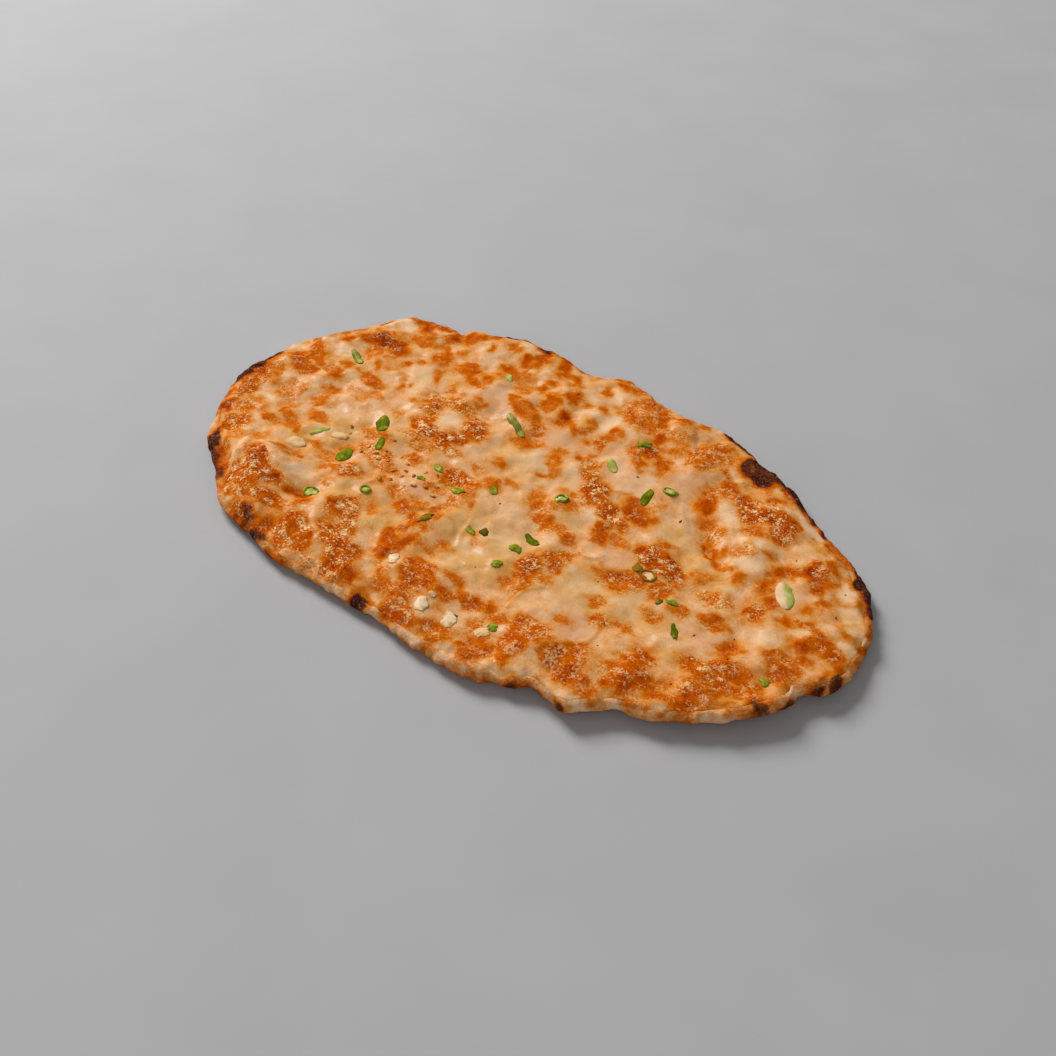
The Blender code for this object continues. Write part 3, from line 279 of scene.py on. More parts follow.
# Folds and creases of the melted top: x, y, half-length, half-width, turn, rise
FOLDS = (
    (-101.5, -60.5, 11, 1.6, -70, 1.4), (-85.5, -54.5, 15, 1.7, -20, .8),
    (76, 20, 13, 1.8, -38, -1.3), (115, -24, 12, 1.2, 8, .6),
    (-70, -13, 12, 1.2, 12, .5), (60, 24, 12, 1.3, -50, .4), (-20, -32, 14, 1.1, 10, .45),
    (-2, -38, 1.1, 9, 15, .45), (90, -31, 16, 1.2, -6, .4), (16, 20, 9, 1.2, -50, -.35),
    (-92, 40, 12, 1.3, -50, -.4), (-28, 66, 10, 1.3, -55, -.45), (-75, 72, 9, 1.3, -50, -.4),
    (36, 70, 8, 1.2, -50, -.4), (6, -47, 16, 1.2, -3, .35), (-48, -36, 9, 1.1, 25, .4),
    (-88, -32, 10, 1.2, 32, .4), (-60, -47, 8, 1.1, 50, .4), (128, -6, 12, 1.2, -5, .45),
)
# What the folds' rises and half-widths are multiplied by, once the cheese has melted over them
FOLD_LIFT = 1.2
FOLD_WIDTH = 1.5

# Rounded edges of slices under the cheese: x, y, radius, first and last direction, rise
SLICE_EDGES = (
    (42, -10, 5.2, 170, 370, .5), (52, -50, 17, 110, 215, .7), (57, -47, 12, -70, 50, .5),
    (-12, -43, 8.5, 20, 250, .5), (-30, -26, 11, 190, 350, .45), (26, 34, 11, 150, 330, .35),
    (-44, 40, 12, 200, 340, .35), (100, -20, 9, 30, 170, .4), (52, -6, 8, 200, 330, .4),
)
# Half the width of such an edge, how far the slice behind it still shows, and the degrees
# over which its ends fade; all widths in mm
SLICE_EDGE_WIDTH = .9
SLICE_REACH = 7
SLICE_FADE = 25
# The thin brown line of painted shade in the crease outside each slice's edge: how brown, how far out, half
# its width
CREASE_SHADE = .12
CREASE_OFF = 1.1
CREASE_HALF = .8

# Flakes of ground pepper on the cheese: x, y
PEPPER = (
    (73, -49), (108, -14), (96, -22), (112, -25), (103, -47), (76, -33), (-55, -21),
    (-38, -30), (14, -47), (-2, -13.5), (104.5, 34.8), (128, 30.5), (131, 18), (30, 35),
    (-42, 24), (53, -22), (-22.5, 64), (58, 25),
)

# Grains of baked-on spice: x, y, size
SPICE = (
    (-66.5, -20.8, 2.4), (-62.7, -16.6, 1.8), (-60.9, -22.6, 3.0), (-58.6, -18.7, 1.9), (-57.4, -24.9, 2.3),
    (-53.6, -23.1, 2.8), (-52.2, -16.9, 1.9), (-48.3, -25.8, 2.6), (-46.4, -18.9, 2.0), (-44.1, -22.7, 3.0),
    (-42.8, -26.4, 1.9), (-39.2, -23.1, 2.6), (-37.1, -18.4, 1.8), (-35.3, -27.6, 2.4), (-31.1, -24.9, 2.8),
    (-28.2, -22.1, 1.9), (-45.2, -30.7, 2.6), (-48.9, -33.1, 3.1), (-32.4, -16.5, 1.9), (-25.6, -26.8, 2.4),
    (-71.7, -28.9, 2.4), (-66.9, -25.2, 3.0), (-79.8, -18.9, 2.2), (-82.3, -15.4, 2.7), (-60.6, -11.7, 1.8),
)

# Small cut bits of spring onion: x, y, length, width, turn, and which part of the stalk
BITS = (
    (-52.5, 53, 6.5, 3, -50, "pale"), (-35, -13, 5, 3.5, -30, "green"), (-20, -18.5, 6.5, 4, 5, "green"),
    (-36, -22.5, 3.5, 3, 0, "green"), (-9, -9, 5, 3.2, -55, "green"), (-18, -39.5, 7.5, 3.4, 80, "olive"),
    (-1, -32.5, 5, 3, -15, "green"), (4, -30, 4.5, 3.5, -40, "dark"), (19, -29, 5.5, 4, 0, "green"),
    (19.5, -41, 4.5, 4, 60, "green"), (19.5, 55, 7, 3.5, 45, "green"), (38.5, -66, 5, 3.8, -20, "green"),
    (81, -14.5, 4.5, 4, 0, "green"), (77, -17, 3, 2.6, 60, "dark"), (127.5, -25.5, 4, 3.4, 15, "green"),
    (61, -8, 6, 4.4, -35, "olive"), (37, -70, 6, 4.5, 20, "white"), (12, -68.5, 3.2, 2.6, 0, "white"),
    (-64, -56.5, 6, 5.4, 0, "pale"), (-48, -42, 4.2, 3.8, 0, "pale"), (15.5, 3.5, 5.4, 4.2, 75, "pale"),
    (46, 36.5, 5.4, 4, -10, "pale"), (67, -8.6, 4.6, 3, -15, "white"), (24.6, -70.8, 4.6, 2, -65, "dark"),
)
# Small cut rings: x, y, outside length and width, turn
RINGLETS = ((-64, -56.5, 7, 6.2, 0), (-48, -42, 5, 4.4, 0), (15.5, 3.5, 6.4, 5, 75))

# Widths in mm over which browned, lightly browned, bare, scorched, fringed and tinted places fade
PATCH_BLEND = 3.2
HALO_BLEND = 8
BARE_BLEND = 4
SCORCH_BLEND = 2
FRINGE_BLEND = 5
TINT_BLEND = 7
# How far the light browning spreads round each browned place, and a fringe round the scorched, in mm
HALO = 2.2
FRINGE = 1.5
# How much each adds to the browning: all over, browned, lightly browned, fringed, toasted towards the rim
BASE_TONE = 0.10
PATCH_TONE = 0.40
HALO_TONE = 0.32
FRINGE_TONE = 0.38
TOAST_TONE = 0.13
# Half the sizes of the oval that the grid of the cheese is wrapped onto
HALF_LENGTH, HALF_WIDTH = 149.5, 89.5

# The cheese's own grid: cells along and across, about 0.75 mm each
CELLS_ALONG = 384
CELLS_ACROSS = 230
# The raster on which the solid's heights are read, in mm, and how often and how far they are blurred
RASTER = 0.75
RASTER_LENGTH, RASTER_WIDTH = 306, 190
BLUR_PASSES = 3
BLUR_REACH = 2
# The solid's outline is kept for each half degree, measured at this many places along each edge
TURNS = 720
EDGE_STEPS = 16
# Over this width in mm the cheese thins to its edge, which is sunk into the dough, and how
# thick its skin is there
EDGE_BLEND = 4
EDGE_SINK = 0.6
EDGE_SKIN = 1.5
# How far the cheese has run outwards onto the crest of the rim, and how much that wavers
EDGE_RUN = 1.4
EDGE_WAVER = 0.9
# How far inside its edge the layer's underside is carried across, ring by ring
BED_INSETS = (1.0, 6.0, 13.0)
# Rows of height and length in mm and a layer of noise: the melted top, the baked rim, and how
# the edges of browned places wander
CHEESE_SWELLS = ((1.3, 13, 17), (0.8, 7, 5), (0.3, 3.6, 6))
RIM_SWELLS = ((0.8, 7, 12), (0.6, 3.6, 13), (0.2, 1.8, 14))
RAGGED_EDGES = ((1.5, 4.2, 21), (1.2, 1.7, 22))
# The cheese's edge wavers by a noise that is read round a circle of this radius, at this length
WAVER_CIRCLE = 60
WAVER_LENGTH = 2.4
# How much of a topping's height lies below the cheese's surface
SUNK_SHARE = 0.35
# Levels of smoothing on the copies of the solids
ROUNDING = 2
# Half the thickness of a grain as a share of its size, and of a cut bit as a share of its width
PEPPER_FLATNESS = 0.5
SPICE_FLATNESS = 0.28
BIT_FLATNESS = 0.12
# How far the cut bits stand out, half the thickness of a cut ring's wall, and its steps round
BIT_RISE = 0.5
RINGLET_WALL = 0.6
RINGLET_STEPS = 28
# Rays that look down for a surface start this high
ABOVE_ALL = 40


def linear(code):
    """A linear colour from an sRGB hex value."""
    parts = [int(code[place:place + 2], 16) / 255 for place in (1, 3, 5)]
    return tuple(p / 12.92 if p <= 0.04045 else ((p + 0.055) / 1.055) ** 2.4 for p in parts) + (1,)


def add_node(tree, kind, inputs=None, output=0, **settings):
    """Adds a shader node with its settings, stops, input values and links; gives one output."""
    made = tree.nodes.new("ShaderNode" + kind)
    for name, value in settings.items():
        if name == "stops":
            elements = made.color_ramp.elements
            while len(elements) < len(value):
                elements.new(0.5)
            for element, (position, colour) in zip(elements, value):
                element.position = position
                element.color = linear(colour) if isinstance(colour, str) else (colour,) * 3 + (1,)
        else:
            setattr(made, name, value)
    for key, value in (inputs or {}).items():
        if isinstance(value, bpy.types.NodeSocket):
            tree.links.new(value, made.inputs[key])
        else:
            made.inputs[key].default_value = value
    return made.outputs[output]


def new_material(name):
    """An empty node material, its tree, and the object's own coordinates."""
    material = bpy.data.materials.new(name)
    material.use_nodes = True
    tree = material.node_tree
    tree.nodes.clear()
    return material, tree, add_node(tree, "TexCoord", output="Object")


def finish_material(tree, shader):
    """Joins the shader to the material's output."""
    tree.links.new(shader, tree.nodes.new("ShaderNodeOutputMaterial").inputs["Surface"])


def per_metre(size_mm):
    """The scale that gives a pattern of this size in mm."""
    return 1000 / size_mm


def smooth(value):
    """An even rise from 0 to 1, flat outside."""
    value = np.clip(value, 0, 1)
    return value * value * (3 - 2 * value)


def oval_distance(x, y, row, half=0.5):
    """How far points lie from an oval's middle: 1 on its edge."""
    angle = math.radians(row[4])
    dx = x - row[0]
    dy = y - row[1]
    along = (dx * math.cos(angle) + dy * math.sin(angle)) / (row[2] * half)
    across = (dy * math.cos(angle) - dx * math.sin(angle)) / (row[3] * half)
    return np.hypot(along, across)


def noise_at(places, size, layer):
    """Smooth noise from -1 to 1 at each place in mm. Each layer is a pattern of its own."""
    shift = Vector((layer * 17.3, layer * 7.9, layer * 3.1))
    return np.array([noise.noise(Vector(p) / size + shift) for p in places])


def swells(places, rows):
    """The sum of several noises, from rows of height and length in mm and a layer."""
    return sum(height * noise_at(places, length, layer) for height, length, layer in rows)


def strongest(x, y, rows, column, blend, grown=0.0):
    """The strongest of the ovals at each point, grown and blended outwards by these many mm."""
    total = np.zeros_like(x)
    for row in rows:
        if row[column]:
            outside = (oval_distance(x, y, row) - 1) * (row[2] + row[3]) / 4
            near = smooth(0.5 + (grown - outside) / blend)
            np.maximum(total, row[column] * near, out=total)
    return total


def slice_edges(x, y):
    """Each slice's edge: how far points lie outside it, how present it is there, and its rise."""
    for middle_x, middle_y, radius, first, last, height in SLICE_EDGES:
        off = np.hypot(x - middle_x, y - middle_y) - radius
        turn = (np.degrees(np.arctan2(y - middle_y, x - middle_x)) - first) % 360
        span = last - first
        yield off, smooth(turn / SLICE_FADE) * smooth((span - turn) / SLICE_FADE) * (turn < span), height


def baked_tones(places):
    """Colour masks at each place: browned (with painted shade in the slice creases), grainy, scorched; pink,
    pale, yellow.
    """
    x = places[:, 0] + 1.5 * noise_at(places, 6, 1) + 0.6 * noise_at(places, 2.2, 2)
    y = places[:, 1] + 1.5 * noise_at(places, 6, 3) + 0.6 * noise_at(places, 2.2, 4)
    ragged = swells(places, RAGGED_EDGES)
    patch = strongest(x, y, BROWNED, 5, PATCH_BLEND, ragged)
    halo = strongest(x, y, BROWNED, 5, HALO_BLEND, HALO + 0.5 * ragged)
    toasted = smooth((np.hypot(x / HALF_LENGTH, y / HALF_WIDTH) - 0.45) / 0.5)
    fringe = strongest(x, y, SCORCHED, 5, FRINGE_BLEND, FRINGE + 0.5 * ragged)
    blotch = smooth((noise_at(places, 7, 25) + 0.6 * noise_at(places, 3.2, 26) + 0.1) / 0.7)
    bare = 1 - strongest(x, y, BARE, 5, BARE_BLEND, 0.5 * ragged)
    brown_and_crease_shade = BASE_TONE + bare * (PATCH_TONE * patch + HALO_TONE * halo)
    brown_and_crease_shade = brown_and_crease_shade + FRINGE_TONE * fringe + TOAST_TONE * toasted * blotch
    # Each slice's crease gets a thin line of painted shade
    for off, fade, _ in slice_edges(x, y):
        brown_and_crease_shade += CREASE_SHADE * fade * np.exp(-((off - CREASE_OFF) / CREASE_HALF) ** 2)
    grain = bare * strongest(x, y, BROWNED, 6, PATCH_BLEND, ragged)
    scorch = strongest(x, y, SCORCHED, 5, SCORCH_BLEND, 0.5 * ragged)
    pink = strongest(x, y, PINK, 5, TINT_BLEND)
    pale = strongest(x, y, PALE, 5, TINT_BLEND)
    yellow = strongest(x, y, YELLOW, 5, TINT_BLEND)
    return brown_and_crease_shade, grain, scorch, pink, pale, yellow


def paint(mesh, tones):
    """Stores the six masks as two colour attributes."""
    for name, group in (("bake", tones[:3]), ("tone", tones[3:])):
        values = np.ones((len(mesh.vertices), 4), np.float32)
        values[:, :3] = np.stack(group, axis=1)
        layer = mesh.attributes.new(name, "FLOAT_COLOR", "POINT")
        layer.data.foreach_set("color", values.ravel())


def spots_of(mesh):
    """The places of a mesh's vertices, as rows."""
    flat = np.empty(len(mesh.vertices) * 3)
    mesh.vertices.foreach_get("co", flat)
    return flat.reshape(-1, 3)


def surface_of(mesh):
    """A tree that rays can be cast at, from a mesh in mm."""
    return BVHTree.FromPolygons([vert.co.copy() for vert in mesh.vertices],
                                [face.vertices[:] for face in mesh.polygons])


def ground_at(surface, x, y):
    """The height of a surface at a place, in mm."""
    return surface.ray_cast(Vector((x, y, ABOVE_ALL)), Vector((0, 0, -1)))[0].z


def cad_copy(node):
    """A merged copy of a CAD node's loose triangles, in mm."""
    bm = bmesh.new()
    bm.from_mesh(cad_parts[node].data)
    bmesh.ops.remove_doubles(bm, verts=bm.verts[:], dist=1e-6)
    bmesh.ops.scale(bm, verts=bm.verts[:], vec=(1 / MM,) * 3)
    return bm


def add_piece(name, mesh, material, slot, *nodes):
    """Links a piece whose mesh is in mm, scales it to metres and lets it ride."""
    mesh.transform(Matrix.Scale(MM, 4))
    mesh.materials.append(material)
    mesh.shade_smooth()
    piece = bpy.data.objects.new(name, mesh)
    bpy.context.scene.collection.objects.link(piece)
    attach(piece, "root")
    if nodes:
        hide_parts(*nodes)


def mesh_of(bm, name):
    """A mesh of this name from a bmesh, which is then freed."""
    mesh = bpy.data.meshes.new(name)
    bm.to_mesh(mesh)
    bm.free()
    return mesh


def softened(node, name, face_angle, shape_angle):
    """A CAD node's copy as a mesh in mm, its triangles joined and its edges rounded."""
    bm = cad_copy(node)
    bmesh.ops.join_triangles(bm, faces=bm.faces[:], angle_face_threshold=math.radians(face_angle),
                             angle_shape_threshold=math.radians(shape_angle))
    holder = bpy.data.objects.new("holder", mesh_of(bm, "holder"))
    bpy.context.scene.collection.objects.link(holder)
    rounding = holder.modifiers.new("rounding", "SUBSURF")
    rounding.levels = ROUNDING
    rounding.render_levels = ROUNDING
    graph = bpy.context.evaluated_depsgraph_get()
    mesh = bpy.data.meshes.new_from_object(holder.evaluated_get(graph))
    bpy.data.objects.remove(holder)
    mesh.name = name
    return mesh


# ---------------------------------------------------------------- materials

def baked_masks(tree):
    """The masks that a baked surface carries: browned (with painted crease shade), grainy, scorched; pink,
    pale, yellow.
    """
    masks = []
    for name in ("bake", "tone"):
        layer = add_node(tree, "Attribute", output="Color", attribute_name=name)
        masks += add_node(tree, "SeparateColor", {0: layer}).node.outputs[:3]
    return masks


def charred(tree, colour, broken, speckle, scorch, fine, soot_tones):
    """Lays soot over the scorched places: it starts where the mottling is highest."""
    burnt = add_node(tree, "Math", {0: broken, 1: 1.2, 2: scorch}, operation="MULTIPLY_ADD")
    burnt = add_node(tree, "Math", {0: speckle, 1: 0.6, 2: burnt}, operation="MULTIPLY_ADD")
    burnt = add_node(tree, "MapRange", {0: burnt, 1: 0.3, 2: 0.95, 3: 0, 4: 1})
    soot = add_node(tree, "ValToRGB", {0: fine}, stops=soot_tones)
    colour = add_node(tree, "Mix", {0: burnt, 6: colour, 7: soot}, output=2, data_type="RGBA")
    return colour, burnt


def make_cheese_material():
    """Mozzarella, melted and oven-browned: waxy cream, orange to brown in grainy blisters."""
    material, tree, place = new_material("mozzarella_melted_oven_browned")
    brown_and_crease_shade, grain, scorch, pink, pale, yellow = baked_masks(tree)
    mottle, fine, clump, veil = [
        add_node(tree, "TexNoise", {"Vector": place, "Scale": per_metre(size), "Detail": detail,
                                    "Roughness": rough, "Distortion": bent})
        for size, detail, rough, bent in (
            (5, 5, 0.62, 0), (0.85, 2, 0.7, 0.6), (3.6, 2, 0.5, 0), (11, 3, 0.5, 0.8))]

    # Browning = mask, broken up by mottling that grows with it, and by fine speckle
    broken = add_node(tree, "Math", {0: mottle, 1: 0.5}, operation="SUBTRACT")
    swing = add_node(tree, "MapRange", {0: brown_and_crease_shade, 1: 0.1, 2: 0.5, 3: 0.38, 4: 1.05})
    browning_and_shade = add_node(tree, "Math", {0: broken, 1: swing, 2: brown_and_crease_shade}, operation="MULTIPLY_ADD")
    speckle = add_node(tree, "Math", {0: fine, 1: 0.5}, operation="SUBTRACT")
    coarse = add_node(tree, "MapRange", {0: grain, 1: 0, 2: 1, 3: -0.3, 4: -1.2})
    browning_and_shade = add_node(tree, "Math", {0: speckle, 1: coarse, 2: browning_and_shade}, operation="MULTIPLY_ADD")
    browning_and_shade = add_node(tree, "Math", {0: pale, 1: -0.16, 2: browning_and_shade}, operation="MULTIPLY_ADD")
    colour = add_node(tree, "ValToRGB", {0: browning_and_shade}, stops=(
        (0.0, "#f1c496"), (0.13, "#e7aa70"), (0.26, "#de9044"), (0.40, "#d27218"),
        (0.55, "#c65a02"), (0.72, "#b64800"), (0.88, "#9c3800"), (1.0, "#782800")))
    low = add_node(tree, "MapRange", {0: browning_and_shade, 1: 0.12, 2: 0.4, 3: 1, 4: 0})
    for tint, code in ((pink, "#dda277"), (yellow, "#d6a04a")):
        share = add_node(tree, "Math", {0: low, 1: tint}, operation="MULTIPLY")
        share = add_node(tree, "Math", {0: share, 1: 0.75}, operation="MULTIPLY")
        colour = add_node(tree, "Mix", {0: share, 6: colour, 7: linear(code)}, output=2,
                          data_type="RGBA")
    # The smooth places turn whitish in soft clouds
    milky = add_node(tree, "MapRange", {0: veil, 1: 0.5, 2: 0.68, 3: 0, 4: 0.6})
    milky = add_node(tree, "Math", {0: milky, 1: low}, operation="MULTIPLY")
    colour = add_node(tree, "Mix", {0: milky, 6: colour, 7: linear("#edc296")}, output=2,
                      data_type="RGBA")
    # In the grain clumps the blister tops are painted creamy: partly their own pale colour, partly painted
    # highlights standing for glints
    tops_and_glints = add_node(tree, "Math", {0: clump, 1: 0.9, 2: fine}, operation="MULTIPLY_ADD")
    tops_and_glints = add_node(tree, "MapRange", {0: tops_and_glints, 1: 0.97, 2: 1.15, 3: 0, 4: 0.95})
    tops_and_glints = add_node(tree, "Math", {0: tops_and_glints, 1: grain}, operation="MULTIPLY")
    colour = add_node(tree, "Mix", {0: tops_and_glints, 6: colour, 7: linear("#ffd894")}, output=2,
                      data_type="RGBA")
    colour, burnt = charred(tree, colour, broken, speckle, scorch, fine, (
        (0.35, "#2e1510"), (0.52, "#4a2218"), (0.62, "#703c26"), (0.75, "#a06c4c")))

    rough = add_node(tree, "MapRange", {0: browning_and_shade, 1: 0, 2: 1, 3: 0.42, 4: 0.3})
    rough = add_node(tree, "Math", {0: burnt, 1: 0.35, 2: rough}, operation="MULTIPLY_ADD")
    # Fat lies as a gloss on the smooth places
    oily = add_node(tree, "Math", {0: low, 1: 0.2}, operation="MULTIPLY")
    relief = add_node(tree, "Math", {0: tops_and_glints, 1: 0.6, 2: fine}, operation="MULTIPLY_ADD")
    bump = add_node(tree, "Bump", {"Strength": 0.5, "Distance": 0.0004, "Height": relief})
    shader = add_node(tree, "BsdfPrincipled", {
        "Base Color": colour, "Roughness": rough, "Normal": bump, "Specular IOR Level": 0.0,
        "Coat Weight": oily, "Coat Roughness": 0.22,
        "Subsurface Weight": 0.08, "Subsurface Radius": (1.0, 0.45, 0.15), "Subsurface Scale": 0.002})
    finish_material(tree, shader)
    return material


def make_dough_material():
    """Wheat dough, hand-stretched and stone-baked: matt, floury, tan to charred."""
    material, tree, place = new_material("wheat_dough_stone_baked")
    brown_and_crease_shade, _, scorch, _, pale, _ = baked_masks(tree)
    mottle, fine, stone = [
        add_node(tree, "TexNoise", {"Vector": place, "Scale": per_metre(size), "Detail": detail,
                                    "Roughness": rough})
        for size, detail, rough in ((7, 5, 0.6), (1, 3, 0.6), (13, 2, 0.5))]
    blister = add_node(tree, "TexVoronoi", {"Vector": place, "Scale": per_metre(0.9)}, output="Distance")
    height = add_node(tree, "SeparateXYZ", {0: place}, output=2)

    broken = add_node(tree, "Math", {0: mottle, 1: 0.47}, operation="SUBTRACT")
    browning_and_shade = add_node(tree, "Math", {0: broken, 1: 1.5, 2: brown_and_crease_shade}, operation="MULTIPLY_ADD")
    speckle = add_node(tree, "Math", {0: fine, 1: 0.5}, operation="SUBTRACT")
    browning_and_shade = add_node(tree, "Math", {0: speckle, 1: 0.5, 2: browning_and_shade}, operation="MULTIPLY_ADD")
    browning_and_shade = add_node(tree, "Math", {0: pale, 1: -0.14, 2: browning_and_shade}, operation="MULTIPLY_ADD")
    # Painted shade: the lower part of the side wall is painted browner
    lower_wall_shade = add_node(tree, "MapRange", {0: height, 1: 0.0055, 2: 0.001, 3: 0, 4: 0.26})
    browning_and_shade = add_node(tree, "Math", {0: browning_and_shade, 1: lower_wall_shade}, operation="ADD")
    # The underside carries round brown marks from the oven stone
    below = add_node(tree, "MapRange", {0: height, 1: 0.0004, 2: 0.0002, 3: 0, 4: 1})
    mark = add_node(tree, "MapRange", {0: stone, 1: 0.5, 2: 0.66, 3: 0, 4: 0.7})
    mark = add_node(tree, "Math", {0: mark, 1: below}, operation="MULTIPLY")
    browning_and_shade = add_node(tree, "Math", {0: browning_and_shade, 1: mark}, operation="ADD")
    colour = add_node(tree, "ValToRGB", {0: browning_and_shade}, stops=(
        (0.0, "#ecbe92"), (0.15, "#e2a874"), (0.30, "#d88e4c"), (0.44, "#cc6e20"),
        (0.59, "#bc560a"), (0.74, "#a04202"), (0.88, "#7a2c02"), (1.0, "#4e1c06")))
    colour, _ = charred(tree, colour, broken, speckle, scorch, fine, (
        (0.35, "#2a1410"), (0.52, "#462016"), (0.62, "#6c3a26"), (0.75, "#a06e50")))
    relief = add_node(tree, "Math", {0: blister, 1: -0.5, 2: fine}, operation="MULTIPLY_ADD")
    bump = add_node(tree, "Bump", {"Strength": 0.5, "Distance": 0.0004, "Height": relief})
    shader = add_node(tree, "BsdfPrincipled", {
        "Base Color": colour, "Roughness": 0.7, "Normal": bump, "Specular IOR Level": 0.02,
        "Subsurface Weight": 0.1, "Subsurface Radius": (1.0, 0.55, 0.3), "Subsurface Scale": 0.002})
    finish_material(tree, shader)
    return material


def make_onion_material(name, edge, dark, light, stripe, roughness, white_side=False):
    """Spring onion, cut fresh and baked a little: moist, with fine fibres and darker edges, partly a wet
    edge, partly painted contact shade.
    """
    material, tree, place = new_material(name)
    along = add_node(tree, "Attribute", output="Vector", attribute_name="fibre")
    fibre = add_node(tree, "Mapping", {"Vector": along, "Scale": (0.12, 1.6, 0)})
    streak = add_node(tree, "TexNoise", {"Vector": fibre, "Scale": 1.0, "Detail": 3, "Roughness": 0.6})
    cloud = add_node(tree, "TexNoise",
                     {"Vector": place, "Scale": per_metre(3), "Detail": 3, "Roughness": 0.55})
    mixed = add_node(tree, "Math", {0: streak, 1: 0.6, 2: cloud}, operation="MULTIPLY_ADD")
    colour = add_node(tree, "ValToRGB", {0: mixed}, stops=(
        (0.62, dark), (0.9, light), (1.06, stripe)))
    _, across, stands_out = add_node(tree, "SeparateXYZ", {0: along}).node.outputs
    # Towards its edge, where it dips into the cheese, it turns to the edge colour: painted contact shade,
    # and a wetter edge
    rim = add_node(tree, "MapRange", {0: stands_out, 1: 0.15, 2: 0.75, 3: 0.85, 4: 0})
    colour = add_node(tree, "Mix", {0: rim, 6: colour, 7: linear(edge)}, output=2, data_type="RGBA")
    if white_side:
        pale = add_node(tree, "Math", {0: across, 1: streak}, operation="ADD")
        pale = add_node(tree, "MapRange", {0: pale, 1: 0, 2: 1.2, 3: 0, 4: 1})
        colour = add_node(tree, "Mix", {0: pale, 6: colour, 7: linear("#e8c49a")}, output=2,
                          data_type="RGBA")
    bump = add_node(tree, "Bump", {"Strength": 0.4, "Distance": 0.0003, "Height": streak})
    shader = add_node(tree, "BsdfPrincipled", {
        "Base Color": colour, "Roughness": roughness, "Normal": bump, "Specular IOR Level": 0.01})
    finish_material(tree, shader)
    return material


def make_curd_material():
    """White cheese, crumbled and baked: keeps its shape, soft and slightly grainy."""
    material, tree, place = new_material("white_cheese_crumbled_baked")
    cloud = add_node(tree, "TexNoise",
                     {"Vector": place, "Scale": per_metre(3), "Detail": 4, "Roughness": 0.6})
    colour = add_node(tree, "ValToRGB", {0: cloud}, stops=(
        (0.35, "#fadeb8"), (0.6, "#f0c898"), (0.8, "#dca264")))
    lift = add_node(tree, "Attribute", output="Vector", attribute_name="fibre")
    lift = add_node(tree, "SeparateXYZ", {0: lift}, output=2)
    lift = add_node(tree, "Math", {0: cloud, 1: -0.8, 2: lift}, operation="MULTIPLY_ADD")
    rim = add_node(tree, "MapRange", {0: lift, 1: -0.3, 2: 0.3, 3: 1, 4: 0})
    colour = add_node(tree, "Mix", {0: rim, 6: colour, 7: linear("#cd8a44")}, output=2, data_type="RGBA")
    fine = add_node(tree, "TexNoise", {"Vector": place, "Scale": per_metre(0.8), "Detail": 3})
    bump = add_node(tree, "Bump", {"Strength": 0.4, "Distance": 0.0003, "Height": fine})
    shader = add_node(tree, "BsdfPrincipled", {
        "Base Color": colour, "Roughness": 0.4, "Normal": bump, "Specular IOR Level": 0.12,
        "Subsurface Weight": 0.2, "Subsurface Radius": (1.0, 0.6, 0.3), "Subsurface Scale": 0.002})
    finish_material(tree, shader)
    return material


def make_clouded_material(name, size, detail, stops, finish):
    """A plain finish whose colour drifts in soft clouds of this size in mm."""
    material, tree, place = new_material(name)
    cloud = add_node(tree, "TexNoise", {"Vector": place, "Scale": per_metre(size), "Detail": detail})
    colour = add_node(tree, "ValToRGB", {0: cloud}, stops=stops)
    finish_material(tree, add_node(tree, "BsdfPrincipled", {"Base Color": colour, **finish}))
    return material


# ------------------------------------------------------------------- pieces

def wrapped(u, v):
    """Turns points of the square grid into shares of the rim's radius and directions."""
    share = np.maximum(np.abs(u), np.abs(v))
    safe = np.where(share == 0, 1, share)
    side = np.abs(u) >= np.abs(v)
    step = np.where(side, 45 * v / np.where(side, np.where(u == 0, safe, u), 1) + np.where(u > 0, 0, 180),
                    90 - 45 * u / np.where(side, 1, np.where(v == 0, safe, v)) + np.where(v > 0, 0, 180))
    angle = np.radians(step)
    return share, np.arctan2(HALF_WIDTH * np.sin(angle), HALF_LENGTH * np.cos(angle))


def outline_of(bm):
    """How far a shape reaches in each direction, as a function of the angle."""
    reach = np.zeros(TURNS)
    for edge in bm.edges:
        for step in range(EDGE_STEPS):
            spot = edge.verts[0].co.lerp(edge.verts[1].co, step / EDGE_STEPS)
            place = int(math.degrees(math.atan2(spot.y, spot.x)) % 360 * (TURNS / 360)) % TURNS
            reach[place] = max(reach[place], math.hypot(spot.x, spot.y))
    turns = (np.arange(TURNS) + 0.5) * 360 / TURNS
    known = reach > 0

    def at(angle):
        return np.interp(np.degrees(angle) % 360, turns[known], reach[known], period=360)

    return at


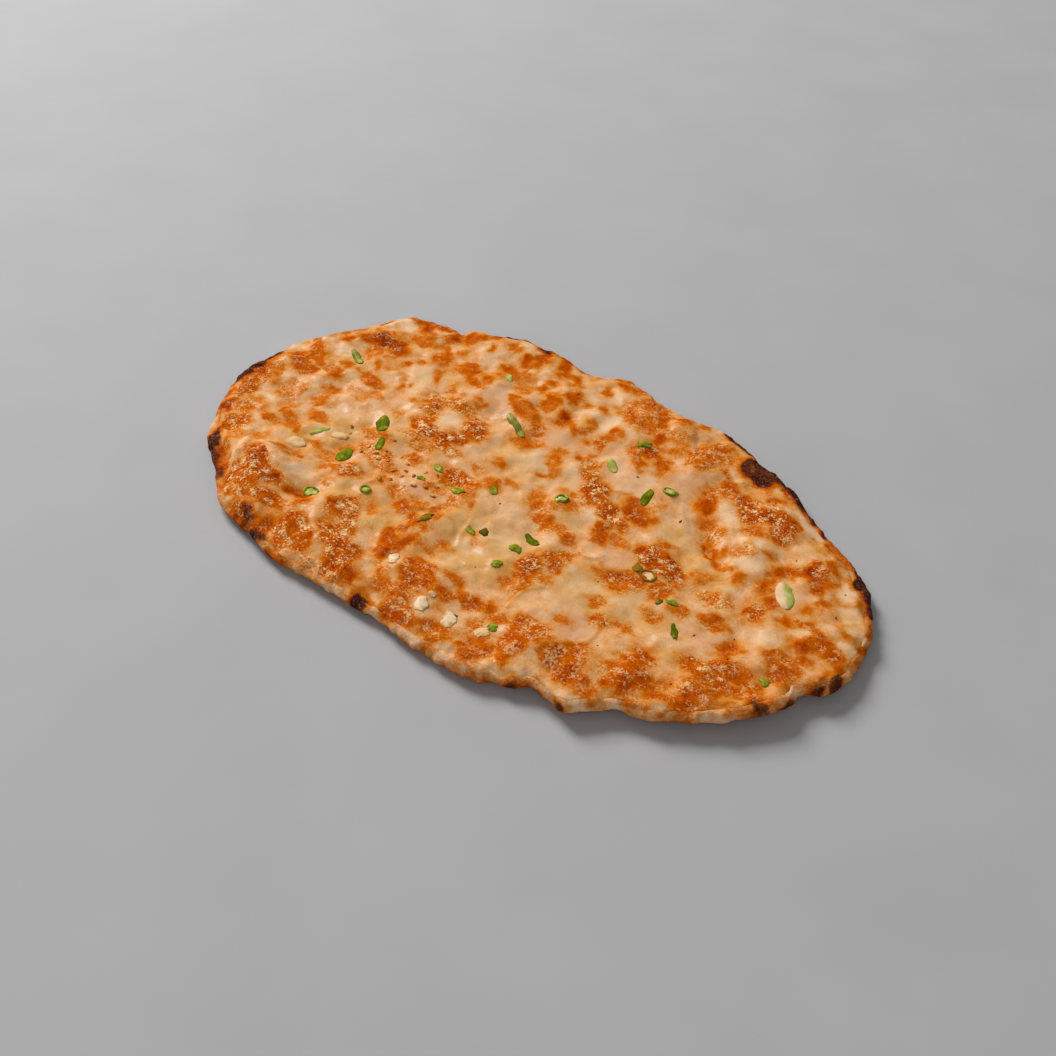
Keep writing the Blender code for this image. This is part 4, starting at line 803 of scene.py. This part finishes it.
def soft_heights(bm):
    """The heights of a shape's upper side, with its facets blurred away, and its ray tree."""
    tree = BVHTree.FromBMesh(bm)
    across = np.arange(-RASTER_LENGTH / 2, RASTER_LENGTH / 2, RASTER)
    up = np.arange(-RASTER_WIDTH / 2, RASTER_WIDTH / 2, RASTER)
    heights = np.full((len(up), len(across)), np.nan)
    for row, y in enumerate(up):
        for column, x in enumerate(across):
            hit = tree.ray_cast(Vector((x, y, ABOVE_ALL)), Vector((0, 0, -1)))[0]
            if hit:
                heights[row, column] = hit.z
    known = ~np.isnan(heights)
    total = np.where(known, heights, 0)
    weight = known.astype(float)
    steps = range(-BLUR_REACH, BLUR_REACH + 1)
    for _ in range(BLUR_PASSES):
        for axis in (0, 1):
            total = sum(np.roll(total, step, axis) for step in steps) / len(steps)
            weight = sum(np.roll(weight, step, axis) for step in steps) / len(steps)
    soft = total / np.maximum(weight, 1e-6)

    def at(x, y):
        column = np.clip((x - across[0]) / RASTER, 0, len(across) - 1.001)
        row = np.clip((y - up[0]) / RASTER, 0, len(up) - 1.001)
        left = column.astype(int)
        low = row.astype(int)
        right_share = column - left
        up_share = row - low
        bottom = soft[low, left] * (1 - right_share) + soft[low, left + 1] * right_share
        top = soft[low + 1, left] * (1 - right_share) + soft[low + 1, left + 1] * right_share
        return bottom * (1 - up_share) + top * up_share

    return at, tree


def cheese_detail(places, tones):
    """Folds, slice edges, swells and blisters that the melted top carries, in mm."""
    x, y = places[:, 0], places[:, 1]
    brown_and_crease_shade, grain, scorch, pink, pale, _ = tones
    rise = swells(places, CHEESE_SWELLS)
    rise *= 1 - 0.4 * pink
    bent_x = x + 2.4 * noise_at(places, 8, 23)
    bent_y = y + 2.4 * noise_at(places, 8, 24)
    for row in FOLDS:
        distance = oval_distance(bent_x, bent_y, (*row[:3], row[3] * FOLD_WIDTH, row[4]), half=1)
        rise += FOLD_LIFT * row[5] * np.exp(-distance ** 2)
    for off, fade, height in slice_edges(x, y):
        edge = np.exp(-(off / SLICE_EDGE_WIDTH) ** 2)
        plateau = 0.5 * smooth(-off / 2 + 0.5)
        rise += height * fade * (edge * 0.6 + plateau * np.exp(-(off / SLICE_REACH) ** 2))
    rise += 0.32 * grain * noise_at(places, 1.3, 7) + 0.2 * grain * noise_at(places, 2.4, 8)
    rise += 0.35 * brown_and_crease_shade * np.abs(noise_at(places, 3, 9)) + 0.15 * pale
    rise += 0.4 * scorch * noise_at(places, 2.2, 10)
    return rise


def make_cheese(material, bread):
    """The melted layer, closed below along the bed it lies in, thin and sunk in at its edge."""
    solid = cad_copy("melted_cheese")
    reach_at = outline_of(solid)
    height_at, tree = soft_heights(solid)
    bm = bmesh.new()
    bmesh.ops.create_grid(bm, x_segments=CELLS_ALONG, y_segments=CELLS_ACROSS, size=1)
    flat = np.array([vert.co[:] for vert in bm.verts])
    share, angle = wrapped(flat[:, 0], flat[:, 1])
    circle = np.stack([WAVER_CIRCLE * np.cos(angle), WAVER_CIRCLE * np.sin(angle), angle * 0], 1)
    waver = noise_at(circle, WAVER_LENGTH, 11)
    edge = reach_at(angle) + EDGE_RUN + EDGE_WAVER * waver
    x = share * edge * np.cos(angle)
    y = share * edge * np.sin(angle)
    from_edge = (1 - share) * edge
    places = np.stack([x, y, np.zeros_like(x)], 1)
    tones = baked_tones(places)
    z = height_at(x, y)
    z += cheese_detail(places, tones) * smooth(from_edge / EDGE_BLEND)
    for place in np.flatnonzero(from_edge < EDGE_BLEND):
        share_in = from_edge[place] / EDGE_BLEND
        skin = ground_at(bread, x[place], y[place]) - EDGE_SINK + EDGE_SKIN * math.sqrt(share_in)
        z[place] += (skin - z[place]) * (1 - smooth(share_in))
    for vert, spot in zip(bm.verts, zip(x, y, z)):
        vert.co = spot
    # Down into the bed and across under the layer
    ring = [e for e in bm.edges if e.is_boundary]
    for inset in BED_INSETS:
        grown = bmesh.ops.extrude_edge_only(bm, edges=ring)["geom"]
        new_verts = {item for item in grown if isinstance(item, bmesh.types.BMVert)}
        for vert in new_verts:
            turn = math.atan2(vert.co.y, vert.co.x)
            reach = float(reach_at(turn)) - inset
            start = Vector((reach * math.cos(turn), reach * math.sin(turn), -ABOVE_ALL))
            vert.co = tree.ray_cast(start, Vector((0, 0, 1)))[0]
        edges = [item for item in grown if isinstance(item, bmesh.types.BMEdge)]
        ring = [e for e in edges if e.verts[0] in new_verts and e.verts[1] in new_verts]
    bmesh.ops.edgeloop_fill(bm, edges=ring)
    bmesh.ops.recalc_face_normals(bm, faces=bm.faces[:])
    solid.free()
    mesh = mesh_of(bm, "melted_cheese_browned")
    paint(mesh, baked_tones(spots_of(mesh) * (1, 1, 0)))
    top = surface_of(mesh)
    add_piece("melted_cheese_browned", mesh, material, "cheese", "melted_cheese")
    return top, height_at


def make_dough(material):
    """The bread with its blistered, charred rim."""
    mesh = softened("flatbread_dough", "flatbread_baked", 40, 60)
    places = spots_of(mesh)
    normals = np.empty(len(mesh.vertices) * 3)
    mesh.vertices.foreach_get("normal", normals)
    normals = normals.reshape(-1, 3)
    tones = baked_tones(places * (1, 1, 0.3))
    rise = swells(places, RIM_SWELLS)
    rise += 0.5 * tones[2] * np.abs(noise_at(places, 2.4, 15))
    lifted = smooth((places[:, 2] - 0.4) / 2)
    places += normals * (rise * lifted)[:, None]
    places[:, 2] = np.maximum(places[:, 2], 0)
    mesh.vertices.foreach_set("co", places.ravel())
    mesh.update()
    paint(mesh, tones)
    surface = surface_of(mesh)
    add_piece("flatbread_baked", mesh, material, "dough", "flatbread_dough")
    return surface


def fibre_lines(mesh, top, height):
    """Stores places along and across a piece, in mm, and how far it stands out, from 0 to 1."""
    places = spots_of(mesh)
    centred = (places - places.mean(axis=0)) * (1, 1, 0)
    axes = np.linalg.svd(centred, full_matrices=False)[2]
    lines = centred @ axes.T
    lines[:, 2] = [(z - ground_at(top, x, y)) / height for x, y, z in places]
    layer = mesh.attributes.new("fibre", "FLOAT_VECTOR", "POINT")
    layer.data.foreach_set("vector", lines.astype(np.float32).ravel())


def make_topping(node, material, slot, height, lumps):
    """A smooth copy of a topping's solid, softened so that it lies in the cheese."""
    mesh = softened(node, node + "_fresh", 30, 50)
    places = spots_of(mesh)
    ragged = lumps * np.stack([noise_at(places, 2.2, layer) for layer in (16, 18, 19)], 1)
    places += ragged * (1, 1, 0.5)
    ground = np.array([ground_at(top, x, y) for x, y, _ in places])
    proud = places[:, 2] - bed_at(places[:, 0], places[:, 1])
    share = (proud - proud.min()) / (proud.max() - proud.min())
    places[:, 2] = ground + height * (share - SUNK_SHARE)
    mesh.vertices.foreach_set("co", places.ravel())
    fibre_lines(mesh, top, height * (1 - SUNK_SHARE))
    add_piece(node + "_fresh", mesh, material, slot, node)


def add_bit(bm, top, row):
    """A small folded chip of onion, lying half in the cheese."""
    x, y, length, width, turn = row[:5]
    made = bmesh.ops.create_icosphere(bm, subdivisions=4, radius=1)["verts"]
    seed = Vector((x, y, 0))
    for vert in made:
        flat = Vector((vert.co.x, vert.co.y, 0))
        vert.co *= 1 + 0.45 * noise.noise(flat * 1.1 + seed) + 0.2 * noise.noise(flat * 3 + seed)
    bmesh.ops.scale(bm, verts=made, vec=(length / 2, width / 2, BIT_FLATNESS * width))
    bmesh.ops.rotate(bm, verts=made, matrix=Matrix.Rotation(math.radians(turn), 3, "Z"))
    for vert in made:
        fold = 0.5 * abs(noise.noise(Vector((vert.co.x, vert.co.y, 0)) / 1.6 + seed))
        vert.co += Vector((x, y, fold))
        vert.co.z += ground_at(top, vert.co.x, vert.co.y)


def add_ringlet(bm, top, row):
    """A cross-cut ring of spring onion, pressed into the cheese."""
    x, y, length, width, turn = row
    made = bmesh.ops.create_circle(bm, segments=8, radius=RINGLET_WALL)["verts"]
    bmesh.ops.rotate(bm, verts=made, matrix=Matrix.Rotation(math.radians(90), 3, "X"))
    bmesh.ops.translate(bm, verts=made, vec=(length / 2 - RINGLET_WALL, 0, 0))
    edges = list(dict.fromkeys(edge for vert in made for edge in vert.link_edges))
    bmesh.ops.spin(bm, geom=made + edges, axis=(0, 0, 1), cent=(0, 0, 0), steps=RINGLET_STEPS,
                   angle=math.tau, use_merge=True)
    # All that hangs together with the first circle is this ring
    whole = set(made)
    grow = list(made)
    while grow:
        vert = grow.pop()
        for edge in vert.link_edges:
            other = edge.other_vert(vert)
            if other not in whole:
                whole.add(other)
                grow.append(other)
    whole = list(whole)
    for vert in whole:
        vert.co *= 1 + 0.08 * noise.noise(vert.co * 0.9 + Vector((x, y, 0)))
    bmesh.ops.scale(bm, verts=whole, vec=(1, width / length, 1))
    bmesh.ops.rotate(bm, verts=whole, matrix=Matrix.Rotation(math.radians(turn), 3, "Z"))
    bmesh.ops.translate(bm, verts=whole, vec=(x, y, ground_at(top, x, y) + 0.2))


def make_bits(name, rows, ringlets, top, material, slot):
    """All the small cut bits of one part of the stalk, as one piece."""
    bm = bmesh.new()
    for row in rows:
        add_bit(bm, top, row)
    for row in ringlets:
        add_ringlet(bm, top, row)
    bmesh.ops.recalc_face_normals(bm, faces=bm.faces[:])
    mesh = mesh_of(bm, name)
    fibre_lines(mesh, top, BIT_RISE)
    add_piece(name, mesh, material, slot, "melted_cheese")


def make_grains(name, rows, top, material, flatness):
    """Flat uneven grains, half in the cheese, as one piece."""
    bm = bmesh.new()
    for x, y, size in rows:
        made = bmesh.ops.create_icosphere(bm, subdivisions=1, radius=size / 2)["verts"]
        for vert in made:
            vert.co *= draw.uniform(0.7, 1.3)
        bmesh.ops.scale(bm, verts=made, vec=(draw.uniform(1, 1.5), draw.uniform(0.6, 0.9), flatness))
        bmesh.ops.rotate(bm, verts=made, matrix=Matrix.Rotation(draw.uniform(0, math.tau), 3, "Z"))
        bmesh.ops.translate(bm, verts=made, vec=(x, y, ground_at(top, x, y)))
    mesh = mesh_of(bm, name)
    add_piece(name, mesh, material, "cheese")


green = make_onion_material("spring_onion_green_cut", "#4a5400", "#5c6602", "#80880c", "#aaac3c", 0.5)
chopped = make_onion_material("spring_onion_chopped", "#585c04", "#6c720a", "#9a9e28", "#ccc46a", 0.5)
mottled = make_onion_material("spring_onion_mottled_cut", "#5e5c10", "#848428", "#bcb45e", "#dccf98", 0.5)
olive = make_onion_material("spring_onion_baked_olive", "#5a3c06", "#805a08", "#9c7420", "#ba8c3c", 0.5)
dark = make_onion_material("spring_onion_baked_dark", "#3a3204", "#50460a", "#6e620e", "#968434", 0.5)
light = make_onion_material("spring_onion_pale_cut", "#90882c", "#a2a63e", "#ccc674", "#ecdca4", 0.45)
stalk = make_onion_material("spring_onion_stalk_cut", "#9c9a40", "#a6aa4e", "#bebe6a", "#d8d090", 0.45,
                            white_side=True)
white = make_onion_material("onion_white_baked", "#cc8c4a", "#e4b87a", "#f0c894", "#fad8a8", 0.45)
curd = make_curd_material()
# Black pepper, ground: dark brown flakes
pepper = make_clouded_material("black_pepper_ground", 0.8, 2, (
    (0.35, "#1f1410"), (0.6, "#3b281c"), (0.75, "#6b4a30")), {"Roughness": 0.7})
# Ground spice, baked into the fat: orange-brown grains
spice = make_clouded_material("spice_ground_baked", 1.5, 2, (
    (0.35, "#a04a10"), (0.5, "#c06c20"), (0.66, "#e09c4c")), {"Roughness": 0.6, "Specular IOR Level": 0.02})

bread = make_dough(make_dough_material())
top, bed_at = make_cheese(make_cheese_material(), bread)
for number in range(1, 11):
    finish = light if number in (6, 10) else mottled if number in (1, 2) else green
    make_topping(f"scallion_leaf_{number}", finish, "green", 1.0, 0.5)
make_topping("scallion_stalk", stalk, "pale_onion", 1.2, 0.45)
for number, finish, height in ((1, chopped, 1.3), (2, olive, 0.9)):
    make_topping(f"scallion_ring_{number}", finish, "green", height, 0.25)
for number in (1, 2):
    make_topping(f"onion_piece_{number}", white, "pale_onion", 1.2, 0.6)
for number in (1, 2, 3):
    make_topping(f"white_cheese_{number}", curd, "white_cheese", 1.1, 1.0)
for part, finish, slot in (("green", chopped, "green"), ("olive", olive, "green"), ("dark", dark, "green"),
                           ("pale", light, "pale_onion"), ("white", white, "pale_onion")):
    rows = [row for row in BITS if row[5] == part]
    make_bits(f"chopped_onion_{part}", rows, RINGLETS if part == "green" else (), top, finish, slot)
ground = [(x, y, draw.uniform(0.8, 1.2)) for x, y in PEPPER]
make_grains("ground_pepper", ground, top, pepper, PEPPER_FLATNESS)
make_grains("baked_spice", SPICE, top, spice, SPICE_FLATNESS)

# -------------------------------------------------------------------- stage

# Half the floor's side, in metres
FLOOR_HALF = 3
# The floor lies a hair below the bread, so that the two never share a plane
FLOOR_DROP = 0.0002

# Board, matt painted: a plain pale grey with a faint cloud
board = make_clouded_material("board_matt_painted", 60, 3, (
    (0.3, "#afaeaf"), (0.7, "#b3b2b3")), {"Roughness": 0.8})
bm = bmesh.new()
bmesh.ops.create_grid(bm, x_segments=1, y_segments=1, size=FLOOR_HALF)
floor_mesh = mesh_of(bm, "floor")
floor_mesh.materials.append(board)
floor = bpy.data.objects.new("floor", floor_mesh)
floor.location = (0, 0, -FLOOR_DROP)
bpy.context.scene.collection.objects.link(floor)

world = bpy.data.worlds.new("soft_room")
world.use_nodes = True
room_light = world.node_tree.nodes["Background"]
room_light.inputs["Color"].default_value = (1, 1, 1, 1)
room_light.inputs["Strength"].default_value = 0.22
bpy.context.scene.world = world


def add_light(name, place, size, power):
    """A soft white light that points at the middle of the bread."""
    lamp = bpy.data.lights.new(name, "AREA")
    lamp.size = size
    lamp.energy = power
    holder = bpy.data.objects.new(name, lamp)
    holder.location = place
    holder.rotation_euler = (-Vector(place)).to_track_quat("-Z", "Y").to_euler()
    bpy.context.scene.collection.objects.link(holder)


add_light("key_window", (-2.4, 0.7, 1.9), 1.3, 102)
add_light("fill_front", (0.8, -1.6, 1.5), 1.4, 8)

lens = bpy.data.cameras.new("three_quarter_view")
lens.lens = 45.32
lens.sensor_width = 36
lens.clip_start = 0.01
camera = bpy.data.objects.new("three_quarter_view", lens)
# Seen from the right of the front and about 42 degrees above it
right = Vector((0.77559, 0.63080, 0.02340))
up = Vector((-0.43928, 0.51275, 0.73765))
back = right.cross(up)
facing = Matrix((right, up, back)).transposed()
camera.matrix_world = Matrix.Translation((0.2489, -0.3173, 0.3555)) @ facing.to_4x4()
bpy.context.scene.collection.objects.link(camera)
bpy.context.scene.camera = camera
bpy.context.scene.view_settings.view_transform = "Standard"
